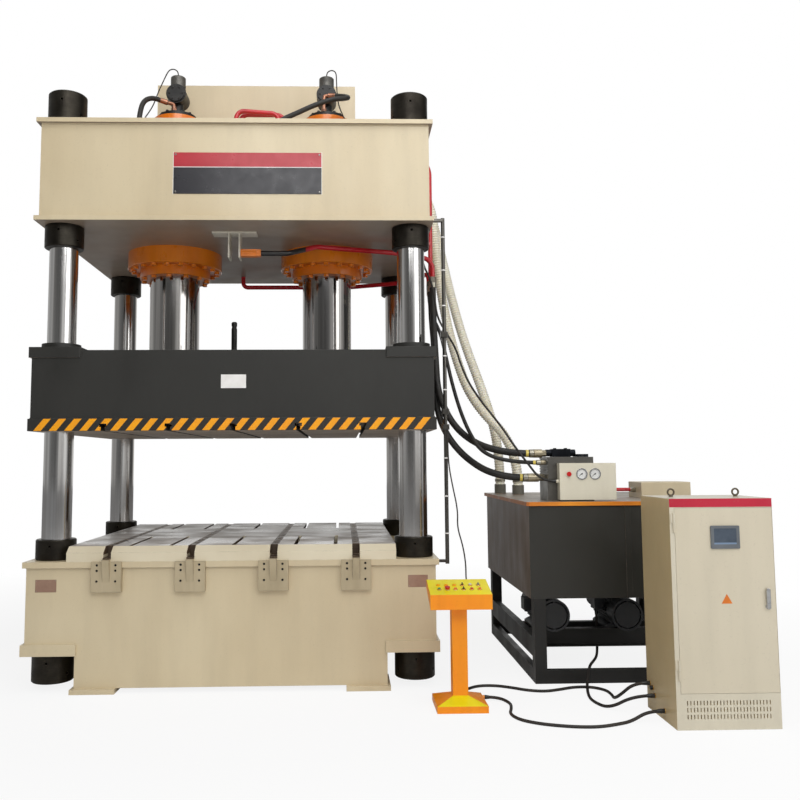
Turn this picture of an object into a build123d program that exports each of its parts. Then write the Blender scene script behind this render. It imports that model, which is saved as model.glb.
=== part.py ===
from build123d import *
import math
import os

os.makedirs("parts", exist_ok=True)

# A four-column hydraulic press with its power unit, control cabinet and push-button console.
# Millimetres. X is to the right, Y to the back, Z up. The origin is on the floor, midway
# between the four columns.

# Columns and their nuts
column_d = 250
column_pitch_x = 3140
column_pitch_y = 2150
column_bottom = 66
column_top = 5272
column_chamfer = 12
nut_clearance = 0.3
nut_d = 340
nut_edge = 8
base_nut_d = 350
base_nut_h = 250
top_nut_h = 295
crown_lock_nut_h = 204
bed_lock_nut_h = 175
spanner_hole_d = 22
spanner_hole_depth = 30
spanner_holes = 6

# Bed
bed_w = 3535
bed_d = 2650
bed_top = 1090
bed_flange_t = 50
bed_lip = 27
bed_core_w = 2640
shelf_bottom = 310
shelf_t = 95
shelf_over_core = 15
foot_t = 40
foot_w = 375
foot_len = 400
foot_proud = 20
foot_side_proud = 25
column_bore_clearance = 1

# Table with T-slots, and the die-lift rails that lie in it
table_w = 2800
table_d = bed_d
table_t = 125
table_bevel_y = 73
table_bevel_z = 50
t_slot_x = (-880, -535, 0, 535, 880)
t_neck_w = 32
t_neck_h = 38
t_head_w = 56
t_head_h = 28
t_front_margin = 12
t_front_end = -400
t_rear_start = 490
rail_pitch = 704
rail_slot_w = 64
rail_slot_depth = 105
rail_side_gap = 1
rail_len = 2380
rail_tongue_t = 14
rail_roller_d = 44
rail_roller_pitch = 170
bracket_w = 255
bracket_t = 25
bracket_h = 252
bracket_hole_d = 20
bracket_hole_x = 78
bracket_hole_drops = (27, 72, 161)
bracket_rib_w = 60
bracket_rib_proud = 40
bracket_rib_h = 190

# Crown
crown_w = 3525
crown_d = 2650
crown_bottom = 4055
crown_h = 930
crown_flange_t = 40
crown_lip = 35

# Cylinders, rams and glands
cylinder_pitch = 1568
cylinder_d = 680
cylinder_bore_d = 541
cylinder_top = 5390
cylinder_fit = 1
cylinder_head_d = 500
cylinder_head_h = 100
cylinder_head_t = 60
gland_flange_d = 950
gland_flange_h = 165
gland_ring_d = 710
gland_ring_h = 94
rim_edge = 6
gland_bolts = 20
gland_bolt_pitch_d = 850
gland_bolt_af = 46
gland_bolt_h = 26
ring_bolts = 12
ring_bolt_pitch_d = 640
ram_d = 500
ram_clearance = 0.3
piston_d = 540
piston_h = 100
ram_top = 4640

# Slide
slide_w = 3496
slide_d = 2600
slide_bottom = 2200
slide_top = 2904
slide_plate_t = 107
slide_plate_lip = 14
slide_t_slot_pitch = 560
slide_t_slots = 5
slide_t_neck_w = 36
slide_t_neck_h = 34
slide_t_head_w = 62
slide_t_head_h = 28
bush_d = 336
bush_clearance = 0.3
bush_block = 446
bush_block_drop = 66
bush_block_rise = 26
bush_block_offset = 12
bush_collar_h = 48
band_t = 3
band_recess = 1
band_margin = 2
stripe_pitch = 131
stripe_w = 64
stripe_lean = 84

# Locking bar on the slide, and the latch under the crown that holds it at the top of the stroke
stroke_up = 700
bar_d = 52
bar_x = -56
bar_y = -880
bar_top = 3217
bar_base_d = 130
bar_base_h = 26
bar_hole_d = 34
bar_hole_drop = 50
latch_pin_d = 30
latch_pin_travel = 70
latch_pin_gap = 12
latch_pin_len = 190
latch_wall = 14
latch_depth = 150
latch_inner = 84
latch_side_h = 245
latch_cylinder_d = 74
latch_cylinder_len = 150
latch_block = 62

# Prefill valves and the oil box on the crown
valve_plate_d = 390
valve_plate_h = 55
valve_plate_bolts = 12
valve_plate_bolt_d = 30
valve_neck_d = 120
valve_body_d = 206
valve_body_z = 5660
valve_body_len = 230
valve_cover_d = 176
valve_cover_t = 16
valve_cover_bolts = 6
valve_cover_bolt_d = 20
valve_cover_bolt_h = 9
valve_cover_bolt_inset = 20
valve_plate_bolt_inset = 32
valve_neck_flare = 20
valve_neck_flare_h = 26
valve_cap_edge = 8
valve_cap_d = 156
valve_cap_h = 116
oil_box_w = 2188
oil_box_d = 850
oil_box_y = 420
oil_box_h = 1110
oil_box_wall = 6
fill_pipe_d = 168
fill_pipe_z = 5250
fill_flange_d = 280
fill_flange_t = 22

# Red steel pipework
pipe_d = 48
pipe_bend = 110
riser_x = 1872
riser_a_y = 40
riser_b_y = -150
riser_c_y = 240
riser_bottom = 3750
riser_rise = 550
over_crown_z = 5050
pipe_clip_w = 60
pipe_clip_t = 26
pipe_clip_z = (4200, 4850)

# Limit switch rod beside the front right column
limit_rod_d = 34
limit_rod_x = 1848
limit_rod_y = -1250
limit_rod_bottom = 1040
limit_rod_top = 4095
limit_arm_w = 40
limit_arm_h = 24
limit_switch_z = (3038, 2357, 2222)
limit_clamp_w = 64
limit_clamp_h = 46
switch_w = 40
switch_d = 46
switch_h = 92

# Power unit: tank on its stand
tank_x = 2580
tank_w = 1800
tank_y = -1193
tank_d = 2150
tank_bottom = 723
tank_h = 803
tank_wall = 6
lid_t = 35
lid_over = 25
seam_w = 50
seam_t = 5
stand_inset = 26
stand_rail_h = 115
stand_rail_w = 60
stand_web_t = 10
leg_w = 104
beam_h = 164
beam_z = 216
beam_w = 70
beam_y = (-720, -400)

# Pump motors
motor_x = (2845, 3511)
motor_z = 530
motor_d = 286
motor_front = -940
cowl_len = 150
cowl_t = 4
motor_len = 470
fin_count = 28
fin_h = 16
fin_w = 5
motor_core_d = 250
motor_bore_d = 44
motor_shaft_gap = 0.5
motor_foot_w = 60
motor_foot_t = 18
motor_foot_x = 118
terminal_box = (110, 130, 70)
motor_gland_x = 176
fan_d = 236
fan_hub_d = 70
fan_w = 50
fan_blades = 8
grille_rings = 4
grille_slot_w = 11
bell_d = 200
bell_len = 150
pump_d = 170
pump_len = 230
pump_port_d = 70

# Valve block, gauge box and return filter box on the tank lid
manifold_x = 2790
manifold_w = 420
manifold_y = -1043
manifold_d = 300
manifold_h = 394
manifold_groove_pitch = 24
manifold_groove = 8
gauge_box_x = 2877
gauge_box_w = 507
gauge_box_y = -1133
gauge_box_d = 90
gauge_box_z = 1573
gauge_box_h = 326
gauge_box_wall = 3
gauge_d = 92
gauge_x = (3076, 3195)
gauge_z = 1802
gauge_case_t = 16
gauge_dial_sink = 7
needle_len = 34
needle_w = 4
needle_t = 1.6
needle_hub_d = 12
unit_button_x = 2958
hose_a_z = 1988
hose_b_z = 1768
hose_y = -900
ferrule_d = 78
union_d = 62
union_len = 54
valve_block_h = 74
return_box_inset = 580
return_box_x = tank_x + tank_w - return_box_inset
return_box_w = 475
return_box_y = -600
return_box_d = 360
return_box_h = 150

# Control cabinet
cabinet_x = 3326
cabinet_y = -2475
cabinet_w = 760
cabinet_d = 580
cabinet_h = 1641
sheet_t = 3
frame_w = 34
door_x = 3362
door_w = 720
door_z = 254
door_h = 1318
door_t = 22
door_gap = 2
vent_z = 62
vent_h = 156
vent_rows = 3
vent_columns = 26
vent_slot_w = 7
vent_slot_h = 32
vent_row_pitch = 48
vent_column_pitch = 24
hinge_d = 16
hinge_len = 70
hinge_z = (380, 1430)
hinge_tab_w = 24
hinge_tab_t = 6
screen_x = 3621
screen_z = 1278
screen_w = 212
screen_h = 166
screen_t = 12
handle_x = 4022
handle_z = 919
handle_w = 30
handle_h = 150
handle_shaft_d = 18
mount_plate_w = 620
mount_plate_h = 1180
mount_plate_z = 330
eye_pitch = 500
eye_ring_d = 62
eye_wire_d = 14
eye_shank = 22

# Console
console_x = 1860
console_y = -1815
console_base_w = 396
console_base_d = 380
console_base_h = 52
console_base_peak = 48
post_w = 120
panel_w = 482
panel_front_y = -2005
panel_depth = 306
panel_front_low = 778
panel_front_high = 893
panel_back_low = 900
panel_back_high = 968
panel_wall = 4
control_pitch = 64
control_rows = (105, 190)
bezel_d = 30
bezel_h = 7
cap_d = 23
control_fit = 0.5
button_travel = 4
stem_d = 12
mushroom_d = 42
knob_len = 26
knob_w = 9

# Cable glands
gland_hex = 34
gland_len = 22

# Hoses and cables
hose_d = 64
pilot_d = 36
return_d = 110
signal_d = 20
cable_d = 24


def write_piece(piece, label):
    piece.part.label = label
    export_step(piece.part, f"parts/{label}.step")


def mirrored(x, y):
    return [(-x, -y), (x, -y), (-x, y), (x, y)]


def arc_radii(points, share=0.45):
    """Largest arc at each corner that its two runs allow."""
    radii = []
    for before, corner, after in zip(points, points[1:], points[2:]):
        run_in = Vector(*corner) - Vector(*before)
        run_out = Vector(*after) - Vector(*corner)
        half_turn = math.radians(run_in.get_angle(run_out)) / 2
        radii.append(share * min(run_in.length, run_out.length) / math.tan(half_turn))
    return radii


def add_tube(points, diameter, radii):
    """Adds a round tube along straight runs and tangent arcs to the part being built."""
    start = Vector(*points[0])
    with BuildLine() as route:
        centre_line = FilletPolyline(*points, radius=radii)
    with BuildSketch(Plane(origin=start, z_dir=Vector(*points[1]) - start)) as section:
        Circle(diameter / 2)
    sweep(sections=section.sketch, path=route.line)
    return centre_line.length


def round_nut(height, outer_d):
    """A round nut with two rows of radial spanner holes."""
    inner_r = column_d / 2 + nut_clearance
    with BuildPart() as nut:
        with BuildSketch(Plane.XZ):
            Polygon(
                (inner_r, 0),
                (outer_d / 2 - nut_edge, 0),
                (outer_d / 2, nut_edge),
                (outer_d / 2, height - nut_edge),
                (outer_d / 2 - nut_edge, height),
                (inner_r, height),
                align=None,
            )
        revolve(axis=Axis.Z)
        for i in range(spanner_holes):
            turn = math.radians(360 / spanner_holes * i + 30)
            level = height * (0.3 if i % 2 else 0.7)
            spot = Plane((0, 0, level), z_dir=(math.cos(turn), math.sin(turn), 0))
            with BuildSketch(spot.offset(outer_d / 2 - spanner_hole_depth)):
                Circle(spanner_hole_d / 2)
            extrude(amount=spanner_hole_depth + 1, mode=Mode.SUBTRACT)
    return nut.part


column_xy = mirrored(column_pitch_x / 2, column_pitch_y / 2)
cylinder_xy = [(-cylinder_pitch / 2, 0), (cylinder_pitch / 2, 0)]
crown_top = crown_bottom + crown_h
table_top = bed_top + table_t
rail_x = [rail_pitch * (i - 1.5) for i in range(4)]
slide_t_slot_x = [slide_t_slot_pitch * (i - (slide_t_slots - 1) / 2) for i in range(slide_t_slots)]

# Bed: a welded box on four feet, with side shelves over the column ends
bed_box_w = bed_w - 2 * bed_lip
bed_box_d = bed_d - 2 * bed_lip
with BuildPart() as bed:
    with BuildSketch(Plane.XY.offset(bed_top - bed_flange_t)):
        Rectangle(bed_w, bed_d)
    extrude(amount=bed_flange_t)
    with BuildSketch(Plane.XY.offset(shelf_bottom)):
        Rectangle(bed_box_w, bed_box_d)
    extrude(amount=bed_top - bed_flange_t - shelf_bottom)
    with BuildSketch(Plane.XY.offset(foot_t)):
        Rectangle(bed_core_w, bed_box_d)
    extrude(amount=shelf_bottom - foot_t)
    with BuildSketch(Plane.XY.offset(shelf_bottom)):
        Rectangle(bed_w, bed_d)
        Rectangle(bed_core_w - 2 * shelf_over_core, bed_d, mode=Mode.SUBTRACT)
    extrude(amount=shelf_t)
    with BuildSketch(Plane.XY.offset(shelf_bottom)):
        with Locations(*column_xy):
            Circle(column_d / 2 + column_bore_clearance)
    extrude(amount=bed_top - shelf_bottom, mode=Mode.SUBTRACT)
    foot_x = bed_core_w / 2 + foot_side_proud - foot_w / 2
    foot_y = bed_d / 2 + foot_proud - foot_len / 2
    with BuildSketch(Plane.XY):
        with Locations(*mirrored(foot_x, foot_y)):
            Rectangle(foot_w, foot_len)
    extrude(amount=foot_t)
write_piece(bed, "bed")

# Table: a thick plate with bevelled front and rear edges
bevel_profile = [
    (-table_d / 2, bed_top),
    (table_d / 2, bed_top),
    (table_d / 2, table_top - table_bevel_z),
    (table_d / 2 - table_bevel_y, table_top),
    (-table_d / 2 + table_bevel_y, table_top),
    (-table_d / 2, table_top - table_bevel_z),
]
t_slot_runs = ((-table_d / 2 + table_bevel_y + t_front_margin, t_front_end), (t_rear_start, table_d / 2))
with BuildPart() as table:
    with BuildSketch(Plane.YZ.offset(-table_w / 2)):
        Polygon(*bevel_profile, align=None)
    extrude(amount=table_w)
    for run_start, run_end in t_slot_runs:
        with BuildSketch(Plane.XZ.offset(-run_start)):
            with Locations(*[(x, table_top - t_neck_h / 2) for x in t_slot_x]):
                Rectangle(t_neck_w, t_neck_h)
            with Locations(*[(x, table_top - t_neck_h - t_head_h / 2) for x in t_slot_x]):
                Rectangle(t_head_w, t_head_h)
        extrude(amount=run_start - run_end, mode=Mode.SUBTRACT)
    with BuildSketch(Plane.XZ.offset(table_d / 2)):
        with Locations(*[(x, table_top - rail_slot_depth / 2) for x in rail_x]):
            Rectangle(rail_slot_w, rail_slot_depth)
    extrude(amount=-table_d, mode=Mode.SUBTRACT)
write_piece(table, "table")

# Die-lift rails: roller bars in the wide slots, each with a tongue out to its bracket
rail_w = rail_slot_w - 2 * rail_side_gap
rail_floor = table_top - rail_slot_depth
rail_h = rail_slot_depth - 2
tongue_end = table_d / 2 + bracket_t
roller_count = int((rail_len - 200) / rail_roller_pitch) + 1
roller_y = [rail_roller_pitch * (i - (roller_count - 1) / 2) for i in range(roller_count)]
with BuildPart() as die_lift_rails:
    with BuildSketch(Plane.XY.offset(rail_floor)):
        with Locations(*[(x, 0) for x in rail_x]):
            Rectangle(rail_w, rail_len)
    extrude(amount=rail_h)
    with BuildSketch(Plane.XY.offset(rail_floor)):
        with Locations(*[(x, -(tongue_end + rail_len / 2) / 2) for x in rail_x]):
            Rectangle(rail_w, tongue_end - rail_len / 2)
    extrude(amount=rail_tongue_t)
    with BuildSketch(Plane.XY.offset(rail_floor + rail_h)):
        with Locations(*[(x, y) for x in rail_x for y in roller_y]):
            Rectangle(rail_w - 24, rail_roller_d)
    extrude(amount=-6, mode=Mode.SUBTRACT)
write_piece(die_lift_rails, "die_lift_rails")

# Brackets on the front of the bed that carry the rail tongues
bracket_front = bed_d / 2 + bracket_t
with BuildPart() as rail_brackets:
    with BuildSketch(Plane.XZ.offset(bed_d / 2)):
        with Locations(*[(x, bed_top - bracket_h / 2) for x in rail_x]):
            Rectangle(bracket_w, bracket_h)
        with Locations(*[(x, (bed_top + rail_floor) / 2) for x in rail_x]):
            Rectangle(bracket_rib_w, rail_floor - bed_top)
    extrude(amount=bracket_t)
    pad_h = bracket_h - bed_flange_t
    with BuildSketch(Plane.XZ.offset(bed_d / 2 - bed_lip)):
        with Locations(*[(x, bed_top - bed_flange_t - pad_h / 2) for x in rail_x]):
            Rectangle(bracket_w, pad_h)
    extrude(amount=bed_lip)
    for x in rail_x:
        with BuildSketch(Plane.YZ.offset(x - bracket_rib_w / 2)):
            Polygon(
                (-bracket_front, rail_floor),
                (-bracket_front - bracket_rib_proud, rail_floor),
                (-bracket_front, rail_floor - bracket_rib_h),
                align=None,
            )
        extrude(amount=bracket_rib_w)
    bolt_spots = [
        (x + side * bracket_hole_x, bed_top - drop)
        for x in rail_x
        for side in (-1, 1)
        for drop in bracket_hole_drops
    ]
    with BuildSketch(Plane.XZ.offset(bracket_front)):
        with Locations(*bolt_spots):
            Circle(bracket_hole_d / 2)
    extrude(amount=-bracket_t * 0.7, mode=Mode.SUBTRACT)
write_piece(rail_brackets, "rail_brackets")

# Columns
with BuildPart() as columns:
    with BuildSketch(Plane.XY.offset(column_bottom)):
        with Locations(*column_xy):
            Circle(column_d / 2)
    extrude(amount=column_top - column_bottom)
    chamfer(columns.edges().filter_by(GeomType.CIRCLE), length=column_chamfer)
write_piece(columns, "columns")

# Column nuts: outer nuts at both ends, lock nuts against the crown and the bed
nut_rows = (
    (shelf_bottom - base_nut_h, base_nut_h, base_nut_d),
    (bed_top, bed_lock_nut_h, nut_d),
    (crown_bottom - crown_lock_nut_h, crown_lock_nut_h, nut_d),
    (crown_top, top_nut_h, nut_d),
)
with BuildPart() as column_nuts:
    for nut_z, nut_h, outer_d in nut_rows:
        nut = round_nut(nut_h, outer_d)
        for x, y in column_xy:
            with Locations((x, y, nut_z)):
                add(nut)
write_piece(column_nuts, "column_nuts")

# Crown: a welded box between two flange plates
crown_box_w = crown_w - 2 * crown_lip
crown_box_d = crown_d - 2 * crown_lip
with BuildPart() as crown:
    for level in (crown_bottom, crown_top - crown_flange_t):
        with BuildSketch(Plane.XY.offset(level)):
            Rectangle(crown_w, crown_d)
        extrude(amount=crown_flange_t)
    with BuildSketch(Plane.XY.offset(crown_bottom)):
        Rectangle(crown_box_w, crown_box_d)
    extrude(amount=crown_h)
    with BuildSketch(Plane.XY.offset(crown_bottom)):
        with Locations(*column_xy):
            Circle(column_d / 2 + column_bore_clearance)
        with Locations(*cylinder_xy):
            Circle(cylinder_d / 2 + cylinder_fit)
    extrude(amount=crown_h, mode=Mode.SUBTRACT)
write_piece(crown, "crown")

# Cylinders: tubes that hang through the crown, closed by a head
gland_bottom = crown_bottom - gland_flange_h - gland_ring_h
tube_bottom = crown_bottom - gland_flange_h
with BuildPart() as cylinders:
    for x, y in cylinder_xy:
        with BuildSketch(Plane.XZ):
            Polygon(
                (x + cylinder_bore_d / 2, tube_bottom),
                (x + cylinder_d / 2, tube_bottom),
                (x + cylinder_d / 2, cylinder_top),
                (x + cylinder_head_d / 2, cylinder_top),
                (x + cylinder_head_d / 2, cylinder_top + cylinder_head_h),
                (x, cylinder_top + cylinder_head_h),
                (x, cylinder_top + cylinder_head_h - cylinder_head_t),
                (x + cylinder_bore_d / 2 - cylinder_head_t, cylinder_top + cylinder_head_h - cylinder_head_t),
                (x + cylinder_bore_d / 2 - cylinder_head_t, cylinder_top - cylinder_head_t / 2),
                (x + cylinder_bore_d / 2, cylinder_top - cylinder_head_t / 2),
                align=None,
            )
        revolve(axis=Axis((x, y, 0), (0, 0, 1)))
write_piece(cylinders, "cylinders")

# Glands: a bolted flange under the crown with a smaller packing ring below it
with BuildPart() as cylinder_glands:
    for x, y in cylinder_xy:
        with BuildSketch(Plane.XZ):
            Polygon(
                (x + ram_d / 2 + ram_clearance, gland_bottom),
                (x + gland_ring_d / 2 - rim_edge, gland_bottom),
                (x + gland_ring_d / 2, gland_bottom + rim_edge),
                (x + gland_ring_d / 2, tube_bottom),
                (x + gland_flange_d / 2 - rim_edge, tube_bottom),
                (x + gland_flange_d / 2, tube_bottom + rim_edge),
                (x + gland_flange_d / 2, crown_bottom),
                (x + cylinder_d / 2 + cylinder_fit, crown_bottom),
                (x + cylinder_d / 2 + cylinder_fit, tube_bottom),
                (x + ram_d / 2 + ram_clearance, tube_bottom),
                align=None,
            )
        revolve(axis=Axis((x, y, 0), (0, 0, 1)))
    for centre in cylinder_xy:
        with BuildSketch(Plane.XY.offset(tube_bottom)):
            with Locations(centre):
                with PolarLocations(gland_bolt_pitch_d / 2, gland_bolts):
                    RegularPolygon(gland_bolt_af / 2, 6, major_radius=False)
        extrude(amount=-gland_bolt_h)
        with BuildSketch(Plane.XY.offset(gland_bottom)):
            with Locations(centre):
                with PolarLocations(ring_bolt_pitch_d / 2, ring_bolts):
                    RegularPolygon(gland_bolt_af / 2, 6, major_radius=False)
        extrude(amount=-gland_bolt_h)
write_piece(cylinder_glands, "cylinder_glands")

# Rams: plated plungers with a piston at the top
with BuildPart() as rams:
    for x, y in cylinder_xy:
        with BuildSketch(Plane.XZ):
            Polygon(
                (x, slide_top),
                (x + ram_d / 2, slide_top),
                (x + ram_d / 2, ram_top - piston_h),
                (x + piston_d / 2, ram_top - piston_h),
                (x + piston_d / 2, ram_top),
                (x, ram_top),
                align=None,
            )
        revolve(axis=Axis((x, y, 0), (0, 0, 1)))
write_piece(rams, "rams")

# Slide: a welded box on a thick T-slotted plate, its corners stepped down for the guide bushes
block_low = slide_top - bush_block_drop
block_x = slide_w / 2 + slide_plate_lip + bush_block_offset - bush_block / 2
block_y = slide_d / 2 + bush_block_offset - bush_block / 2
block_xy = mirrored(block_x, block_y)
with BuildPart() as slide:
    with BuildSketch(Plane.XY.offset(slide_bottom)):
        Rectangle(slide_w + 2 * slide_plate_lip, slide_d + 2 * slide_plate_lip)
    extrude(amount=slide_plate_t)
    with BuildSketch(Plane.XY.offset(slide_bottom)):
        Rectangle(slide_w, slide_d)
    extrude(amount=slide_top - slide_bottom)
    with BuildSketch(Plane.XY.offset(block_low)):
        with Locations(*block_xy):
            Rectangle(bush_block, bush_block)
    extrude(amount=bush_block_drop, mode=Mode.SUBTRACT)
    with BuildSketch(Plane.XY.offset(slide_bottom)):
        with Locations(*column_xy):
            Circle(bush_d / 2)
    extrude(amount=slide_top - slide_bottom, mode=Mode.SUBTRACT)
    slot_len = slide_d + 2 * slide_plate_lip
    with BuildSketch(Plane.XZ.offset(slot_len / 2)):
        with Locations(*[(x, slide_bottom + slide_t_neck_h / 2) for x in slide_t_slot_x]):
            Rectangle(slide_t_neck_w, slide_t_neck_h)
        with Locations(*[(x, slide_bottom + slide_t_neck_h + slide_t_head_h / 2) for x in slide_t_slot_x]):
            Rectangle(slide_t_head_w, slide_t_head_h)
    extrude(amount=-slot_len, mode=Mode.SUBTRACT)
write_piece(slide, "slide")

# Guide bushes: a square flange on each corner of the slide, with a collar and a long sleeve
with BuildPart() as guide_bushes:
    with BuildSketch(Plane.XY.offset(block_low)):
        with Locations(*block_xy):
            Rectangle(bush_block, bush_block)
    extrude(amount=bush_block_drop + bush_block_rise)
    chamfer(guide_bushes.edges().filter_by(Axis.Z), length=6)
    with BuildSketch(Plane.XY.offset(slide_bottom)):
        with Locations(*column_xy):
            Circle(bush_d / 2)
    extrude(amount=slide_top + bush_block_rise + bush_collar_h - slide_bottom)
    with BuildSketch(Plane.XY.offset(slide_bottom)):
        with Locations(*column_xy):
            Circle(column_d / 2 + bush_clearance)
    extrude(amount=slide_top + bush_block_rise + bush_collar_h - slide_bottom, mode=Mode.SUBTRACT)
write_piece(guide_bushes, "guide_bushes")

# Warning band round the foot of the slide: leaning stripes stand proud of it
band_h = slide_plate_t - 2 * band_margin
band_in_w = slide_w + 2 * slide_plate_lip
band_in_d = slide_d + 2 * slide_plate_lip


def lay_stripes(face_plane, face_w):
    count = int(face_w / stripe_pitch)
    with BuildSketch(face_plane) as stripes:
        with Locations(*[(stripe_pitch * (i - (count - 1) / 2), 0) for i in range(count)]):
            Polygon(
                (-stripe_w / 2 - stripe_lean / 2, -band_h / 2),
                (stripe_w / 2 - stripe_lean / 2, -band_h / 2),
                (stripe_w / 2 + stripe_lean / 2, band_h / 2),
                (-stripe_w / 2 + stripe_lean / 2, band_h / 2),
                align=None,
            )
    extrude(stripes.sketch, amount=band_recess)


with BuildPart() as hazard_band:
    with BuildSketch(Plane.XY.offset(slide_bottom + band_margin)):
        Rectangle(band_in_w + 2 * (band_t - band_recess), band_in_d + 2 * (band_t - band_recess))
        Rectangle(band_in_w, band_in_d, mode=Mode.SUBTRACT)
    extrude(amount=band_h)
    band_mid = slide_bottom + slide_plate_t / 2
    skin_x = band_in_w / 2 + band_t - band_recess
    skin_y = band_in_d / 2 + band_t - band_recess
    lay_stripes(Plane((0, -skin_y, band_mid), x_dir=(1, 0, 0), z_dir=(0, -1, 0)), band_in_w)
    lay_stripes(Plane((skin_x, 0, band_mid), x_dir=(0, 1, 0), z_dir=(1, 0, 0)), band_in_d)
    lay_stripes(Plane((0, skin_y, band_mid), x_dir=(-1, 0, 0), z_dir=(0, 1, 0)), band_in_w)
    lay_stripes(Plane((-skin_x, 0, band_mid), x_dir=(0, -1, 0), z_dir=(-1, 0, 0)), band_in_d)
    with BuildSketch(Plane.XZ.offset(slot_len / 2 + band_t)):
        with Locations(*[(x, slide_bottom + slide_t_neck_h / 2) for x in slide_t_slot_x]):
            Rectangle(slide_t_neck_w, slide_t_neck_h)
        with Locations(*[(x, slide_bottom + slide_t_neck_h + slide_t_head_h / 2) for x in slide_t_slot_x]):
            Rectangle(slide_t_head_w, slide_t_head_h)
    extrude(amount=-slot_len - 2 * band_t, mode=Mode.SUBTRACT)
write_piece(hazard_band, "hazard_band")

# Locking bar on the slide with a cross hole at its top
with BuildPart() as locking_bar:
    with BuildSketch(Plane.XY.offset(slide_top)):
        with Locations((bar_x, bar_y)):
            Circle(bar_base_d / 2)
    extrude(amount=bar_base_h)
    with BuildSketch(Plane.XY.offset(slide_top)):
        with Locations((bar_x, bar_y)):
            Circle(bar_d / 2)
    extrude(amount=bar_top - slide_top)
    chamfer(locking_bar.faces().sort_by(Axis.Z)[-1].edges(), length=8)
    with BuildSketch(Plane((bar_x - bar_d, bar_y, bar_top - bar_hole_drop), z_dir=(1, 0, 0))):
        Circle(bar_hole_d / 2)
    extrude(amount=2 * bar_d, mode=Mode.SUBTRACT)
write_piece(locking_bar, "locking_bar")

# Latch under the crown: an open bracket that the bar rises into, and a small cylinder beside it
latch_z = bar_top - bar_hole_drop + stroke_up
latch_side_x = bar_x + latch_inner / 2
pin_rest_x = bar_x + bar_d / 2 + latch_pin_gap
with BuildPart() as latch_bracket:
    with BuildSketch(Plane.XZ.offset(-bar_y + latch_depth / 2)):
        with Locations((bar_x, crown_bottom - latch_wall / 2)):
            Rectangle(latch_inner + 2 * latch_wall + 2 * latch_cylinder_len, latch_wall)
        with Locations(*[(bar_x + side * (latch_inner + latch_wall) / 2, crown_bottom - latch_side_h / 2)
                         for side in (-1, 1)]):
            Rectangle(latch_wall, latch_side_h)
    extrude(amount=-latch_depth)
    cylinder_start = latch_side_x + latch_wall
    with BuildSketch(Plane((cylinder_start, bar_y, latch_z), z_dir=(1, 0, 0))):
        Circle(latch_cylinder_d / 2)
        Rectangle(latch_cylinder_d * 0.9, latch_cylinder_d * 0.9)
    extrude(amount=latch_cylinder_len)
    with BuildSketch(Plane((bar_x - latch_inner, bar_y, latch_z), z_dir=(1, 0, 0))):
        Circle(latch_pin_d / 2 + bush_clearance)
    extrude(amount=latch_inner + latch_pin_len + latch_wall, mode=Mode.SUBTRACT)
    with BuildSketch(Plane((cylinder_start + latch_cylinder_len, bar_y, latch_z), z_dir=(1, 0, 0))):
        Rectangle(latch_block, latch_block)
    extrude(amount=latch_block * 0.6)
latch_end_x = cylinder_start + latch_cylinder_len + latch_block * 0.6
write_piece(latch_bracket, "latch_bracket")

with BuildPart() as latch_pin:
    with BuildSketch(Plane((pin_rest_x, bar_y, latch_z), z_dir=(1, 0, 0))):
        Circle(latch_pin_d / 2)
    extrude(amount=latch_pin_len - latch_pin_travel + latch_pin_gap)
    chamfer(latch_pin.faces().sort_by(Axis.X)[0].edges(), length=5)
write_piece(latch_pin, "latch_pin")

# Prefill valves on the cylinder heads: bolted plate, neck, a round body lying front to back, and a cap
head_top = cylinder_top + cylinder_head_h
valve_mid_z = valve_body_z + valve_body_d / 2
valve_front = -valve_body_len / 2
with BuildPart() as prefill_valves:
    for x, y in cylinder_xy:
        with BuildSketch(Plane.XZ):
            Polygon(
                (x, head_top),
                (x + valve_plate_d / 2, head_top),
                (x + valve_plate_d / 2, head_top + valve_plate_h),
                (x + valve_neck_d / 2 + valve_neck_flare, head_top + valve_plate_h),
                (x + valve_neck_d / 2, head_top + valve_plate_h + valve_neck_flare_h),
                (x + valve_neck_d / 2, valve_mid_z),
                (x, valve_mid_z),
                align=None,
            )
        revolve(axis=Axis((x, y, 0), (0, 0, 1)))
        with BuildSketch(Plane.XY.offset(head_top + valve_plate_h)):
            with Locations((x, y)):
                with PolarLocations(valve_plate_d / 2 - valve_plate_bolt_inset, valve_plate_bolts):
                    RegularPolygon(valve_plate_bolt_d / 2, 6)
        extrude(amount=valve_plate_bolt_d * 0.8)
        body_face = Plane((x, y + valve_front, valve_mid_z), x_dir=(1, 0, 0), z_dir=(0, -1, 0))
        with BuildSketch(body_face):
            Circle(valve_body_d / 2)
        extrude(amount=-valve_body_len)
        with BuildSketch(body_face):
            Circle(valve_cover_d / 2)
        extrude(amount=valve_cover_t)
        with BuildSketch(body_face.offset(valve_cover_t)):
            with PolarLocations(valve_cover_d / 2 - valve_cover_bolt_inset, valve_cover_bolts):
                RegularPolygon(valve_cover_bolt_d / 2, 6)
        extrude(amount=valve_cover_bolt_h)
        with BuildSketch(Plane.XY.offset(valve_mid_z)):
            with Locations((x, y)):
                Circle(valve_cap_d / 2)
        extrude(amount=valve_body_d / 2 + valve_cap_h - valve_cap_edge)
        with BuildSketch(Plane.XY.offset(valve_mid_z + valve_body_d / 2 + valve_cap_h - valve_cap_edge)):
            with Locations((x, y)):
                Circle(valve_cap_d / 2)
        extrude(amount=valve_cap_edge, taper=45)
write_piece(prefill_valves, "prefill_valves")

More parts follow.
